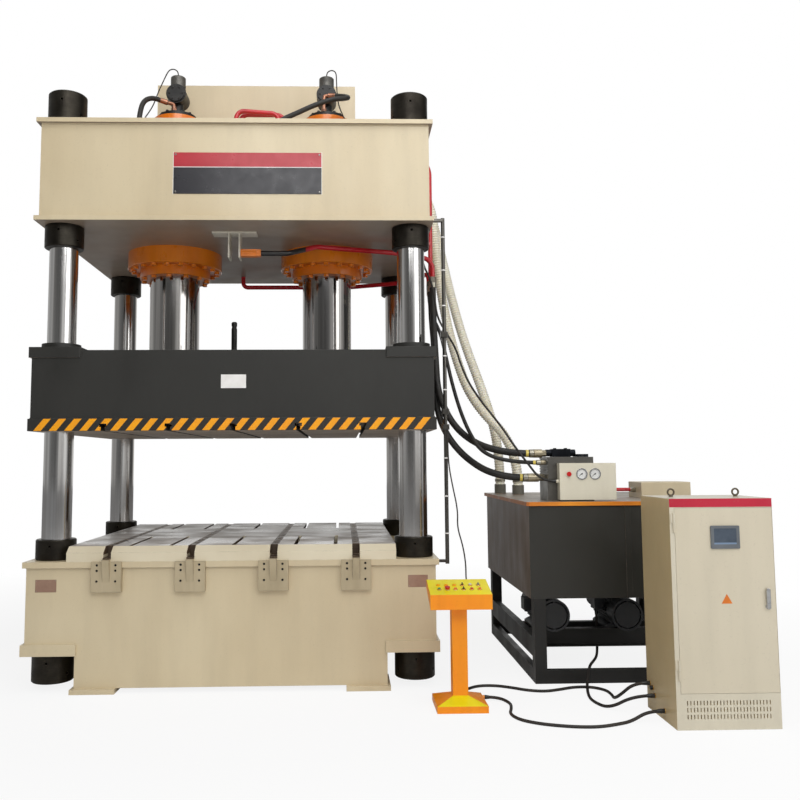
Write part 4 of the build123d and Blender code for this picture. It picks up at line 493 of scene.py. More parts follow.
# The materials of the CAD nodes; a material that has one row to itself is made there
finish = (
    (cream, "bed crown top_oil_box return_box"),
    # The brackets get a darker copy of the cream paint: painted shade under the table's edge
    (paint("bracket_shaded_paint", (0.735, 0.675, 0.555), (0.66, 0.6, 0.48), 0.46, edge=(0.45, 0.42, 0.38), scale=4),
     "rail_brackets"),
    (polished("column_chrome", (0.93, 0.93, 0.93), (0.56, 0.52, 0.48), 0.07), "columns"),
    (dark_steel("nut_steel", (0.165, 0.15, 0.13), (0.25, 0.235, 0.205)), "column_nuts"),
    (table_material(), "table"),
    (dark_steel("rail_steel", (0.34, 0.29, 0.25), (0.46, 0.4, 0.34), 0.42, 0.8), "die_lift_rails"),
    (paint("gland_paint", (0.93, 0.52, 0.08), (0.85, 0.42, 0.05), 0.3, edge=(0.97, 0.68, 0.25), coat=0.5,
           scale=3), "cylinders cylinder_glands"),
    (prefill_material(), "prefill_valves"), (red_pipe, "red_pipes"),
    (paint("latch_paint", (0.88, 0.86, 0.8), (0.8, 0.77, 0.7), 0.4, edge=(0.5, 0.47, 0.42), scale=4,
           edge_radius=0.003, regions=(({"x": (0.0005, 0.4), "z": (3.7, 4.035)}, (0.93, 0.5, 0.08)),)),
     "latch_bracket"),
    (zinc, "latch_pin"), (polished("rod_steel", (0.42, 0.41, 0.39), (0.24, 0.23, 0.22), 0.28), "limit_rod"),
    (slate, "slide guide_bushes"),
    (polished("ram_chrome", (0.8, 0.79, 0.78), (0.29, 0.26, 0.23), 0.06, blue=(0.48, 0.5, 0.56)), "rams"),
    (band_material(), "hazard_band"), (black_steel, "locking_bar"),
    # The tank's paint turns brown on faces that look left: a painted reflection on that side
    (paint("tank_paint", (0.185, 0.18, 0.16), (0.155, 0.15, 0.132), 0.36, edge=(0.38, 0.36, 0.33), coat=0.1,
           regions=(({"facing": (-1, 0, 0)}, (0.37, 0.28, 0.19)),)), "oil_tank"),
    (lid_material(), "tank_lid"),
    (paint("stand_paint", (0.115, 0.113, 0.105), (0.085, 0.083, 0.077), 0.46, edge=(0.3, 0.28, 0.25), coat=0.05),
     "tank_stand"),
    (paint("motor_paint", (0.15, 0.155, 0.165), (0.1, 0.105, 0.115), 0.4, edge=(0.34, 0.34, 0.34), scale=4),
     "motors"),
    (moulded_black, "motor_fan_left motor_fan_right cable_glands"),
    (dark_steel("valve_steel", (0.16, 0.155, 0.145), (0.26, 0.25, 0.23), 0.45, 0.6), "pumps"),
    (valve_block_material(), "valve_block"),
    (paint("gauge_box_paint", (0.895, 0.87, 0.79), (0.86, 0.83, 0.745), 0.4, coat=0.3, edge_radius=0.003),
     "gauge_box"),
    (chrome_ring, "gauges door_handle"), (tick_black, "gauge_needle_left gauge_needle_right"),
    (plastic("button_red", (0.8, 0.05, 0.06), 0.22), "unit_button emergency_stop button_red"),
    (cabinet_paint, "cabinet_body"),
    (paint("door_paint", (0.85, 0.81, 0.72), (0.82, 0.78, 0.685), 0.36, edge=(0.91, 0.88, 0.81),
           edge_radius=0.003, coat=0.35), "cabinet_door"),
    (screen_material(), "touch_screen"), (switchgear_material(), "contactor_panel"),
    (console_paint, "console_stand console_box"),
    (plastic("button_white", (0.88, 0.88, 0.84), 0.22), "button_white"),
    (plastic("button_green", (0.05, 0.5, 0.18), 0.22), "button_green"),
    (plastic("button_orange", (0.93, 0.42, 0.06), 0.22), "button_orange_middle button_orange_right"),
    (plastic("selector_black", (0.05, 0.05, 0.05), 0.25), "selector_black_back selector_black_front"),
    (plastic("selector_blue", (0.36, 0.44, 0.56), 0.25), "selector_blue"),
)
for shader, node_names in finish:
    for node_name in node_names.split():
        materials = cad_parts[node_name].data.materials
        materials.clear()
        materials.append(shader.mat)


# Pieces built in mesh code
def publish(name, bm, shader, body=PRESS, smooth=True, angle=35):
    """The mesh as an object that rides on a body; edges sharper than the angle stay sharp."""
    mesh = bpy.data.meshes.new(name)
    bm.normal_update()
    bm.to_mesh(mesh)
    bm.free()
    mesh.materials.append(shader.mat)
    obj = bpy.data.objects.new(name, mesh)
    scene.collection.objects.link(obj)
    if smooth:
        mesh.shade_smooth()
        mesh.set_sharp_from_angle(angle=radians(angle))
    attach(obj, body)
    return obj


def add_box(bm, low, high, bevel=0.0, segments=2):
    verts = bmesh.ops.create_cube(bm, size=1.0)["verts"]
    size = Vector(high) - Vector(low)
    centre = (Vector(high) + Vector(low)) / 2
    for v in verts:
        v.co = v.co * size + centre
    if bevel:
        edges = list({e for v in verts for e in v.link_edges})
        bmesh.ops.bevel(bm, geom=edges, offset=bevel, segments=segments, affect="EDGES", profile=0.5)


def add_rod(bm, start, end, radius, sides=24, end_radius=None):
    start, end = Vector(start), Vector(end)
    axis = end - start
    turn = axis.to_track_quat("Z", "Y").to_matrix().to_4x4()
    bmesh.ops.create_cone(bm, cap_ends=True, segments=sides, radius1=radius, radius2=end_radius or radius,
                          depth=axis.length, matrix=Matrix.Translation((start + end) / 2) @ turn)


def add_ring(bm, centre, axis, major, minor, around, across=10, scale=1.0):
    """A torus whose hole points along the axis; the scale stretches it that way."""
    turn = Vector(axis).to_track_quat("Z", "Y").to_matrix()
    rings = []
    for i in range(around):
        a = 2 * pi * i / around
        ring = []
        for j in range(across):
            b = 2 * pi * j / across
            r = major + minor * cos(b)
            where = turn @ Vector((r * cos(a), r * sin(a), minor * scale * sin(b)))
            ring.append(bm.verts.new(Vector(centre) + where))
        rings.append(ring)
    for i, ring in enumerate(rings):
        ahead = rings[(i + 1) % around]
        for j in range(across):
            k = (j + 1) % across
            bm.faces.new((ring[j], ahead[j], ahead[k], ring[k]))


def add_loop(bm, centre, u, v, radius, sides):
    """The vertices of a circle that lies along the unit vectors u and v."""
    return [bm.verts.new(centre + (u * cos(a) + v * sin(a)) * radius)
            for a in (2 * pi * k / sides for k in range(sides))]


def bridge(bm, last, ring):
    sides = len(ring)
    for k in range(sides):
        bm.faces.new((last[k], last[(k + 1) % sides], ring[(k + 1) % sides], ring[k]))


def add_bead(bm, start, end, radius):
    """A weld bead: a six-sided strip whose thickness ripples along its run."""
    start, end = Vector(start), Vector(end)
    axis = end - start
    count = max(4, int(axis.length / BEAD_RIPPLE))
    side = axis.normalized()
    u = side.orthogonal().normalized()
    v = side.cross(u)
    last = None
    for i in range(count + 1):
        swell = radius * (1.0 + 0.18 * sin(i * 2.1) + 0.1 * sin(i * 0.73 + 1.3))
        ring = add_loop(bm, start + axis * (i / count), u, v, swell, 6)
        if last:
            bridge(bm, last, ring)
        last = ring


def add_prism(bm, corners, depth):
    """A flat plate: its front has these corners, its back lies so much further along Y."""
    front = [bm.verts.new(c) for c in corners]
    back = [bm.verts.new(Vector(c) + Vector((0, depth, 0))) for c in corners]
    bm.faces.new(front)
    bm.faces.new(back[::-1])
    for a in range(len(corners)):
        b = (a + 1) % len(corners)
        bm.faces.new((front[a], back[a], back[b], front[b]))


# Hoses and cables: the routes of part.py in metres, as NURBS control points
cord_routes = {
    "pressure_hose_upper": (0.064, [
        (1.872, -0.15, 3.75), (1.872, -0.15, 3.43), (1.883, -0.234, 2.979), (1.886, -0.382, 2.547),
        (2.067, -0.555, 2.171), (2.389, -0.9, 1.988), (2.7, -0.9, 1.988),
    ]),
    "pressure_hose_lower": (0.064, [
        (1.872, 0.04, 3.75), (1.872, 0.04, 3.46), (1.887, -0.103, 3.066), (1.866, -0.246, 2.678),
        (1.891, -0.402, 2.296), (2.076, -0.584, 1.976), (2.359, -0.9, 1.768), (2.64, -0.9, 1.768),
    ]),
    "pilot_hose": (0.036, [
        (1.872, 0.24, 3.75), (1.872, 0.24, 3.524), (1.959, 0.009, 3.273), (1.998, -0.149, 2.989),
        (2.035, -0.298, 2.701), (2.082, -0.474, 2.43), (2.138, -0.692, 2.194), (2.227, -0.924, 1.983),
        (2.516, -0.985, 1.905), (2.745, -0.985, 1.905),
    ]),
    "signal_cable": (0.02, [
        (1.735, -0.42, 4.033), (1.735, -0.42, 3.898), (1.825, -0.405, 3.723), (1.864, -0.4, 3.535),
        (1.881, -0.421, 3.344), (1.964, -0.469, 3.179), (2.045, -0.54, 3.02), (2.082, -0.618, 2.847),
        (2.138, -0.689, 2.676), (2.224, -0.755, 2.517), (2.321, -0.832, 2.368), (2.415, -0.919, 2.222),
        (2.498, -0.996, 2.066), (2.598, -1.059, 1.913), (2.724, -1.088, 1.738), (2.855, -1.088, 1.738),
    ]),
    "return_hose_front": (0.11, [
        (1.094, 0.65, 5.25), (1.518, 0.65, 5.25), (1.962, 0.747, 4.931), (2.011, 0.785, 4.329),
        (2.077, 0.756, 3.727), (2.19, 0.687, 3.135), (2.374, 0.594, 2.565), (2.831, 0.44, 2.081),
        (2.831, 0.44, 1.661),
    ]),
    "return_hose_rear": (0.11, [
        (1.094, 1.13, 5.5), (1.535, 1.13, 5.5), (1.977, 1.297, 5.123), (2.126, 1.352, 4.512),
        (2.236, 1.241, 3.899), (2.378, 1.128, 3.292), (2.564, 0.983, 2.705), (2.705, 0.8, 2.104),
        (2.705, 0.8, 1.661),
    ]),
    "console_cable": (0.024, [
        (1.93, -1.603, 0.026), (1.93, -1.499, 0.026), (1.985, -1.361, 0.012), (2.095, -1.265, 0.012),
        (2.241, -1.266, 0.012), (2.369, -1.339, 0.012), (2.485, -1.431, 0.012), (2.625, -1.468, 0.012),
        (2.762, -1.414, 0.012), (2.894, -1.347, 0.012), (3.04, -1.348, 0.012), (3.139, -1.452, 0.012),
        (3.141, -1.598, 0.011), (3.109, -1.742, 0.025), (3.117, -1.874, 0.087), (3.201, -1.958, 0.198),
        (3.304, -1.958, 0.198),
    ]),
    "console_supply_cable": (0.024, [
        (2.08, -1.66, 0.026), (2.184, -1.66, 0.026), (2.269, -1.778, 0.012), (2.247, -1.925, 0.012),
        (2.205, -2.068, 0.012), (2.248, -2.208, 0.012), (2.362, -2.304, 0.012), (2.499, -2.363, 0.012),
        (2.644, -2.4, 0.012), (2.793, -2.404, 0.012), (2.934, -2.355, 0.013), (3.063, -2.28, 0.009),
        (3.2, -2.249, 0.071), (3.304, -2.249, 0.071),
    ]),
    "motor_cable": (0.024, [
        (3.335, -0.58, 0.508), (3.335, -0.58, 0.362), (3.315, -0.644, 0.172), (3.249, -0.833, 0.141),
        (3.163, -1.023, 0.148), (3.071, -1.209, 0.15), (2.998, -1.379, 0.059), (2.948, -1.571, 0.009),
        (2.927, -1.777, 0.013), (2.998, -1.968, 0.012), (3.162, -2.056, 0.129), (3.304, -2.056, 0.129),
    ]),
}


def nurbs(name, points, diameter=0.0):
    """The route as a smooth NURBS curve; with a diameter it becomes a round tube."""
    data = bpy.data.curves.new(name, "CURVE")
    data.dimensions = "3D"
    spline = data.splines.new("NURBS")
    spline.points.add(len(points) - 1)
    for point, where in zip(spline.points, points):
        point.co = (*where, 1.0)
    spline.order_u = 3
    spline.use_endpoint_u = True
    data.resolution_u = 12
    if diameter:
        data.bevel_depth = diameter / 2
        data.bevel_resolution = 7
        data.use_fill_caps = True
    obj = bpy.data.objects.new(name, data)
    scene.collection.objects.link(obj)
    return obj


def centreline(points):
    """Points along the route's NURBS curve, as Blender makes them."""
    bare = nurbs("bare_route", points)
    bpy.context.view_layer.update()
    mesh = bpy.data.meshes.new_from_object(bare)
    line = [v.co.copy() for v in mesh.vertices]
    bpy.data.objects.remove(bare)
    bpy.data.meshes.remove(mesh)
    return line


def line_length(line):
    return sum((b - a).length for a, b in zip(line, line[1:]))


def evenly(line, pitch):
    """The same line walked at an even pitch."""
    lengths = [0.0]
    for a, b in zip(line, line[1:]):
        lengths.append(lengths[-1] + (b - a).length)
    count = max(2, round(lengths[-1] / pitch))
    walked, k = [], 0
    for i in range(count + 1):
        goal = lengths[-1] * i / count
        while k < len(line) - 2 and lengths[k + 1] < goal:
            k += 1
        share = (goal - lengths[k]) / max(1e-9, lengths[k + 1] - lengths[k])
        walked.append(line[k].lerp(line[k + 1], min(1.0, share)))
    return walked


def add_skin(bm, line, radius_at):
    """A closed tube along a line; radius_at gives the radius from the distance walked."""
    up, last, walked = None, None, 0.0
    for i, point in enumerate(line):
        ahead = (line[min(i + 1, len(line) - 1)] - line[max(i - 1, 0)]).normalized()
        if up is None:
            up = ahead.orthogonal().normalized()
        up = (up - ahead * up.dot(ahead)).normalized()
        if i:
            walked += (point - line[i - 1]).length
        ring = add_loop(bm, point, up, ahead.cross(up), radius_at(walked), 28)
        if last:
            bridge(bm, last, ring)
        else:
            bm.faces.new(ring[::-1])
        last = ring
    bm.faces.new(last)


def span(line, start, end):
    """The stretch of a line between two distances from its start; negative ones count from its end."""
    whole = line_length(line)
    start, end = (d if d >= 0 else whole + d for d in (start, end))
    fine = evenly(line, CURVE_PITCH)
    step = whole / (len(fine) - 1)
    return [p for i, p in enumerate(fine) if start - 1e-6 <= i * step <= end + 1e-6]


def sleeve(name, line, start, end, radius, end_radius, shader, ribs):
    """A tube over a stretch of a line that tapers from one radius to the other, with ribs of that depth."""
    bm = bmesh.new()
    stretch = span(line, start, end)
    whole = line_length(stretch)

    def radius_at(walked):
        taper = radius + (end_radius - radius) * walked / whole
        return taper + ribs * (0.5 + 0.5 * cos(walked * 2 * pi / COLLAR_RIB_PITCH)) if ribs else taper

    add_skin(bm, stretch, radius_at)
    return publish(name, bm, shader, angle=50)


# Sleeves of the cords: name ending, stretch of the line, how proud at either end, material, rib depth
hose_ends = (("_band", -0.075, -0.045, 0.0022, 0.0022, band_yellow, 0.0),
             ("_collar_low", -0.042, -0.002, 0.005, 0.006, zinc, 0.0012),
             ("_collar_high", 0.002, 0.06, 0.006, 0.005, zinc, 0.0012))
cable_ends = (("_relief_start", 0.001, 0.042, 0.0055, 0.001, moulded_black, 0.0),
              ("_relief_end", -0.042, -0.001, 0.001, 0.0055, moulded_black, 0.0))
return_ends = (("_clamp_low", -0.06, -0.03, 0.002, 0.002, zinc, 0.0),
               ("_clamp_top", 0.03, 0.06, 0.002, 0.002, zinc, 0.0))
prefill_ends = (("_collar", 0.002, 0.06, 0.006, 0.005, zinc, 0.0012),
                ("_ferrule", -0.085, -0.002, 0.0015, 0.003, copper, 0.0))


def sleeves(cord, line, diameter, rows):
    r = diameter / 2
    return [sleeve(cord + ending, line, start, end, r + proud, r + end_proud, shader, ribs)
            for ending, start, end, proud, end_proud, shader, ribs in rows]


cord_lines = {name: centreline(points) for name, (_, points) in cord_routes.items()}
cord_length = {name: line_length(line) for name, line in cord_lines.items()}

stiff_hoses = ("pressure_hose_upper", "pressure_hose_lower", "pilot_hose")
for cord_name in (*stiff_hoses, "signal_cable", "console_cable", "console_supply_cable", "motor_cable"):
    cord_diameter, cord_points = cord_routes[cord_name]
    stiff = cord_name in stiff_hoses
    tube = nurbs(cord_name + "_cover", cord_points, cord_diameter)
    tube.data.materials.append((hose_black if stiff else cable_black).mat)
    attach(tube, PRESS)
    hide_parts(cord_name)
    on_it = sleeves(cord_name, cord_lines[cord_name], cord_diameter, hose_ends if stiff else cable_ends)

for cord_name in ("return_hose_front", "return_hose_rear"):
    cord_diameter, cord_points = cord_routes[cord_name]
    line = evenly(cord_lines[cord_name], RETURN_RIB_PITCH / 6)

    def ribbed(walked):
        wave = cos(walked * 2 * pi / RETURN_RIB_PITCH)
        return cord_diameter / 2 - RETURN_RIB_DEPTH + RETURN_RIB_DEPTH * wave

    bm = bmesh.new()
    add_skin(bm, line, ribbed)
    tube = publish(cord_name + "_wall", bm, clear_hose(), angle=80)
    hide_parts(cord_name)
    band, top_band = sleeves(cord_name, line, cord_diameter, return_ends)


# Hoses and thin wires that the CAD model has no node for, each from fitting to fitting
extra_cords = {
    "prefill_hose_left": (0.05, "stiff", hose_black, [
        (-1.07, -0.52, 5.01), (-1.07, -0.505, 5.2), (-1.072, -0.45, 5.4), (-1.06, -0.37, 5.56),
        (-1.0, -0.27, 5.645), (-0.91, -0.19, 5.648), (-0.853, -0.175, 5.632),
    ]),
    "prefill_hose_right": (0.05, "stiff", hose_black, [
        (0.24, -0.64, 5.01), (0.24, -0.64, 5.15), (0.33, -0.625, 5.255), (0.5, -0.59, 5.35),
        (0.68, -0.56, 5.45), (0.8557, -0.5378, 5.5208), (0.9522, -0.4888, 5.5474), (1.008, -0.404, 5.5934),
        (1.008, -0.306, 5.6466), (0.9522, -0.2212, 5.6926), (0.8557, -0.1722, 5.7192), (0.8, -0.172, 5.7192),
    ]),
    "prefill_wire_left": (0.012, "medium", cable_black, [
        (-0.784, 0.0, 5.995), (-0.784, 0.0, 6.042), (-0.815, -0.005, 6.073), (-0.859, -0.012, 6.073),
        (-0.89, -0.022, 6.042), (-0.928, -0.05, 5.93), (-0.981, -0.075, 5.78), (-1.022, -0.115, 5.61),
        (-1.13, -0.16, 5.42), (-1.16, -0.19, 5.17), (-1.16, -0.19, 5.003),
    ]),
    "prefill_wire_right": (0.012, "medium", cable_black, [
        (0.784, 0.0, 5.995), (0.784, 0.0, 6.042), (0.815, -0.003, 6.073), (0.859, -0.008, 6.073),
        (0.888, -0.014, 6.04), (0.89, -0.03, 5.94), (0.894, -0.045, 5.84), (0.905, -0.085, 5.68),
        (0.95, -0.28, 5.47), (1.03, -0.38, 5.28), (1.04, -0.39, 5.14), (1.04, -0.39, 5.003),
    ]),
    "switch_wire": (0.012, "medium", cable_black, [
        (1.862, -1.273, 2.199), (1.862, -1.273, 2.09), (1.866, -1.29, 1.89), (1.89, -1.33, 1.718),
        (1.925, -1.4, 1.507), (1.908, -1.47, 1.366), (1.942, -1.54, 1.227), (1.958, -1.595, 1.08),
        (1.956, -1.597, 0.934), (1.956, -1.699, 0.934),
    ]),
}
elbows = {
    "prefill_hose_left": [
        (-0.853, -0.175, 5.632), (-0.812, -0.173, 5.622), (-0.79, -0.172, 5.612), (-0.79, -0.172, 5.585),
    ],
    "prefill_hose_right": [
        (0.8, -0.172, 5.7192), (0.772, -0.172, 5.719), (0.76, -0.172, 5.7), (0.76, -0.172, 5.585),
    ],
}
for cord_name, (cord_diameter, stiffness, cover, cord_points) in extra_cords.items():
    line = centreline(cord_points)
    tube = nurbs(cord_name, cord_points, cord_diameter)
    tube.data.materials.append(cover.mat)
    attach(tube, PRESS)
    on_it = []
    if cord_name in elbows:
        bm = bmesh.new()
        add_skin(bm, centreline(elbows[cord_name]), lambda walked: 0.0185)
        on_it = [publish(cord_name + "_elbow", bm, copper, angle=40),
                 *sleeves(cord_name, line, cord_diameter, prefill_ends)]

# Sockets, flanges and glands where these hoses and wires end
VALVE_PLATE_TOP, CROWN_TOP = 5.545, 4.985
bm = bmesh.new()
for points in elbows.values():
    px, py, _ = points[-1]
    add_rod(bm, (px, py, VALVE_PLATE_TOP), (px, py, 5.569), 0.03, 6)
    add_rod(bm, (px, py, 5.569), (px, py, 5.588), 0.024, 32)
publish("prefill_sockets", bm, copper, angle=40)
bm = bmesh.new()
for cord_name in elbows:
    px, py, top = extra_cords[cord_name][3][0]
    add_rod(bm, (px, py, CROWN_TOP), (px, py, 4.997), 0.062, 40, 0.06)
    add_rod(bm, (px, py, 4.997), (px, py, top), 0.036, 6)
    for corner in range(4):
        turn = pi / 4 + corner * pi / 2
        cx, cy = px + 0.05 * cos(turn), py + 0.05 * sin(turn)
        add_rod(bm, (cx, cy, 4.997), (cx, cy, 5.004), 0.0075, 6)
publish("crown_hose_flanges", bm, zinc, angle=40)
bm = bmesh.new()
wires = [extra_cords[cord_name][3] for cord_name in ("prefill_wire_left", "prefill_wire_right")]
for px, py, top in [wire[0] for wire in wires] + [wire[-1] for wire in wires]:
    add_rod(bm, (px, py, 5.982 if top > VALVE_PLATE_TOP else CROWN_TOP), (px, py, top), 0.0125, 6, 0.0105)
switch_end = Vector(extra_cords["switch_wire"][3][-1])
add_rod(bm, switch_end, switch_end + Vector((0, 0.013, 0)), 0.012, 6)
publish("wire_glands", bm, brass, angle=40)

# Red pipe on the lid, from its flange behind the gauge box to the return box
PIPE_X, PIPE_Y, PIPE_Z, LID_TOP = 3.3, -0.42, 1.637, 1.561
bm = bmesh.new()
pipe = [(PIPE_X, LID_TOP), (PIPE_X, 1.6), (3.302, 1.634), (3.336, PIPE_Z), (3.5, PIPE_Z), (3.8, PIPE_Z)]
add_skin(bm, centreline([(x, PIPE_Y, z) for x, z in pipe]), lambda walked: 0.0175)
publish("lid_pipe", bm, red_pipe, angle=60)
bm = bmesh.new()
add_rod(bm, (PIPE_X, PIPE_Y, LID_TOP), (PIPE_X, PIPE_Y, 1.573), 0.045, 40, 0.043)
add_rod(bm, (3.764, PIPE_Y, PIPE_Z), (3.799, PIPE_Y, PIPE_Z), 0.026, 6)
add_rod(bm, (3.748, PIPE_Y, PIPE_Z), (3.764, PIPE_Y, PIPE_Z), 0.0215, 32)
publish("lid_pipe_unions", bm, zinc, angle=40)


def plates(name, boxes, shader, body=PRESS):
    """Flat plates in one piece; a row gives two corners and, if any, the bevel and its segments."""
    bm = bmesh.new()
    for box in boxes:
        add_box(bm, *box)
    publish(name, bm, shader, body, smooth=False)


# Nameplate on the crown, bare, in its three colours with a bolt at each corner
LEFT, RIGHT, CROWN_FACE = -0.553, 0.763, -1.2899
plates("nameplate_upper", [((LEFT, -1.2945, 4.549), (RIGHT, CROWN_FACE, 4.68), 0.0012)], plate_red)
plates("nameplate_lower", [((LEFT, -1.2945, 4.302), (RIGHT, CROWN_FACE, 4.543), 0.0012)], plate_navy)
plates("nameplate_line", [((LEFT, -1.2943, 4.543), (RIGHT, CROWN_FACE, 4.549)),
                          ((LEFT - 0.005, -1.293, 4.297), (LEFT, CROWN_FACE, 4.685)),
                          ((RIGHT, -1.293, 4.297), (RIGHT + 0.005, CROWN_FACE, 4.685))], plate_white)
bm = bmesh.new()
for px in (LEFT + 0.018, RIGHT - 0.018):
    for pz in (4.32, 4.662):
        add_rod(bm, (px, -1.2945, pz), (px, -1.2985, pz), 0.009, 20, 0.007)
publish("nameplate_bolts", bm, bright_bolt)

# Bare plates on bed and slide; those on the bed are riveted
BED_FACE = -1.298
bed_plates = (((-1.662, 0.836), (-1.484, 0.941)), ((1.501, 0.85), (1.671, 0.953)))
plates("bed_plates", [((low[0], BED_FACE - 0.0018, low[1]), (high[0], BED_FACE + 0.0002, high[1]), 0.0005, 1)
                      for low, high in bed_plates], plate_copper)
plates("slide_plate", [((-0.113, -1.3016, 2.567), (0.105, -1.2998, 2.686), 0.0005, 1)], plate_white, SLIDE)
bm = bmesh.new()
for low, high in bed_plates:
    for px in (low[0] + 0.01, high[0] - 0.01):
        for pz in (low[1] + 0.01, high[1] - 0.01):
            add_rod(bm, (px, BED_FACE - 0.0014, pz), (px, BED_FACE - 0.0036, pz), 0.004, 14, 0.0028)
publish("plate_rivets", bm, bright_bolt)

# Weld beads where the flanges of crown, bed and slide meet their boxes
CROWN_BEAD, BED_BEAD, FOOT_BEAD, SLIDE_BEAD = 0.0075, 0.007, 0.0065, 0.006
BED_SEAM, SHELF_SEAM, FOOT_SEAM, SLIDE_SEAM = 1.0385, 0.4065, 0.3085, 2.3085


def side_beads(x, reach, level, radius):
    for side in (-1, 1):
        add_bead(bm, (side * x, -reach, level), (side * x, reach, level), radius)


bm = bmesh.new()
for level in (4.0965, 4.9435):
    for y in (-1.2905, 1.2905):
        add_bead(bm, (-1.725, y, level), (1.725, y, level), CROWN_BEAD)
    side_beads(1.728, 1.288, level, CROWN_BEAD)
side_beads(1.741, 1.296, BED_SEAM, BED_BEAD)
for low, high in ((-1.738, -1.19), (-0.925, -0.485), (-0.221, 0.221), (0.485, 0.925), (1.19, 1.738)):
    add_bead(bm, (low, -1.2985, BED_SEAM), (high, -1.2985, BED_SEAM), BED_BEAD)
for side in (-1, 1):
    add_bead(bm, (side * 1.741, -1.296, SHELF_SEAM), (side * 1.741, 1.296, SHELF_SEAM), FOOT_BEAD)
    add_bead(bm, (side * 1.3185, -1.2985, SHELF_SEAM), (side * 1.738, -1.2985, SHELF_SEAM), FOOT_BEAD)
    add_bead(bm, (side * 1.3215, -1.29, FOOT_SEAM), (side * 1.3215, 1.29, FOOT_SEAM), FOOT_BEAD)
publish("weld_beads", bm, cream, angle=60)
bm = bmesh.new()
for y in (-1.3005, 1.3005):
    add_bead(bm, (-1.745, y, SLIDE_SEAM), (1.745, y, SLIDE_SEAM), SLIDE_BEAD)
side_beads(1.7485, 1.298, SLIDE_SEAM, SLIDE_BEAD)
publish("slide_weld_beads", bm, slate, SLIDE, angle=60)

# Socket screws in the rail brackets
RAIL_PITCH, SCREW_RADIUS = 0.704, 0.0094
bm = bmesh.new()
for i in range(4):
    for side in (-1, 1):
        for drop in (0.027, 0.072, 0.161):
            px, pz = RAIL_PITCH * (i - 1.5) + side * 0.078, 1.09 - drop
            add_rod(bm, (px, -1.3332, pz), (px, -1.347, pz), SCREW_RADIUS)
            add_rod(bm, (px, -1.347, pz), (px, -1.3482, pz), SCREW_RADIUS, 24, 0.0082)
publish("bracket_screws", bm, black_steel)

# Dials of the pressure gauges: pale face and graduations, without figures
GAUGE_X, GAUGE_Z = (3.076, 3.195), 1.802
MARK_REACH, MARK_DEPTH = 0.0385, 0.0002
bm = bmesh.new()
for gx in GAUGE_X:
    add_rod(bm, (gx, -1.1331, GAUGE_Z), (gx, -1.1333, GAUGE_Z), 0.0412, 48)
publish("gauge_faces", bm, dial_white, smooth=False)
bm = bmesh.new()
for gx in GAUGE_X:
    for k in range(51):
        turn = radians(225 - 270 * k / 50)
        length = 0.008 if k % 10 == 0 else 0.0055 if k % 5 == 0 else 0.0035
        along = Vector((cos(turn), 0, sin(turn)))
        across = Vector((-along.z, 0, along.x)) * (0.0007 if k % 10 == 0 else 0.0004)
        inner, outer = (Vector((gx, -1.13342, GAUGE_Z)) + along * r for r in (MARK_REACH - length, MARK_REACH))
        add_prism(bm, (inner - across, outer - across, outer + across, inner + across), MARK_DEPTH)
bmesh.ops.recalc_face_normals(bm, faces=bm.faces)
publish("gauge_marks", bm, tick_black, smooth=False)

# Triangle plate on the door, bare
bm = bmesh.new()
add_prism(bm, [(3.724 + 0.046 * sin(a), -2.476, 0.908 + 0.046 * cos(a))
               for a in (0, 2 * pi / 3, 4 * pi / 3)], 0.0011)
bmesh.ops.recalc_face_normals(bm, faces=bm.faces)
publish("door_triangle", bm, plate_orange, "door", smooth=False)

# Console: chrome collars round the controls, and three lamps
CONTROL_PITCH, LOWER_ROW, UPPER_ROW = 0.064, 0.105, 0.19
panel_normal = Vector((0, -0.075, 0.306)).normalized()
panel_across = Vector((1, 0, 0))
panel_up = panel_normal.cross(panel_across)
panel_origin = Vector((1.86, -2.005, 0.893))


def on_panel(column, row, lift):
    return panel_origin + panel_across * (column - 2.5) * CONTROL_PITCH + panel_up * row + panel_normal * lift


bm = bmesh.new()
for column, row in ((4, UPPER_ROW), *((c, LOWER_ROW) for c in (0, 1, 2, 4, 5)),
                    (3, UPPER_ROW), (5, UPPER_ROW), (3, LOWER_ROW)):
    add_ring(bm, on_panel(column, row, 0.0008), panel_normal, 0.0172, 0.0016, 40)
for column in range(3):
    add_ring(bm, on_panel(column, UPPER_ROW, 0.001), panel_normal, 0.0125, 0.0022, 36)
publish("console_collars", bm, chrome_ring, angle=60)
lamps = (("lamp_red", (0.72, 0.1, 0.08)), ("lamp_green", (0.12, 0.5, 0.22)), ("lamp_amber", (0.9, 0.55, 0.1)))
for column, (lamp_name, lamp_colour) in enumerate(lamps):
    foot, brim, tip = (on_panel(column, UPPER_ROW, lift) for lift in (-0.0002, 0.006, 0.009))
    bm = bmesh.new()
    add_rod(bm, foot, brim, 0.0108, 32, 0.01)
    add_rod(bm, brim, tip, 0.01, 32, 0.006)
    publish(lamp_name, bm, plastic(lamp_name, lamp_colour, 0.15), angle=50)

# Brass rings on the cable glands
bm = bmesh.new()
for gy, gz in ((-1.958, 0.198), (-2.02, 0.18), (-2.056, 0.129), (-2.249, 0.071)):
    add_ring(bm, (3.3235, gy, gz), (1, 0, 0), 0.0172, 0.0022, 36)
publish("gland_rings", bm, brass, angle=60)

# Ties that hold the wiring to the limit rod
bm = bmesh.new()
for level in (1.3, 1.62, 1.95, 2.55, 2.85, 3.3, 3.62, 3.92):
    add_ring(bm, (1.848, -1.25, level), (0.02, 0, 1), 0.018, 0.0022, 28, 8, 2.4)
publish("rod_ties", bm, plate_white, angle=60)


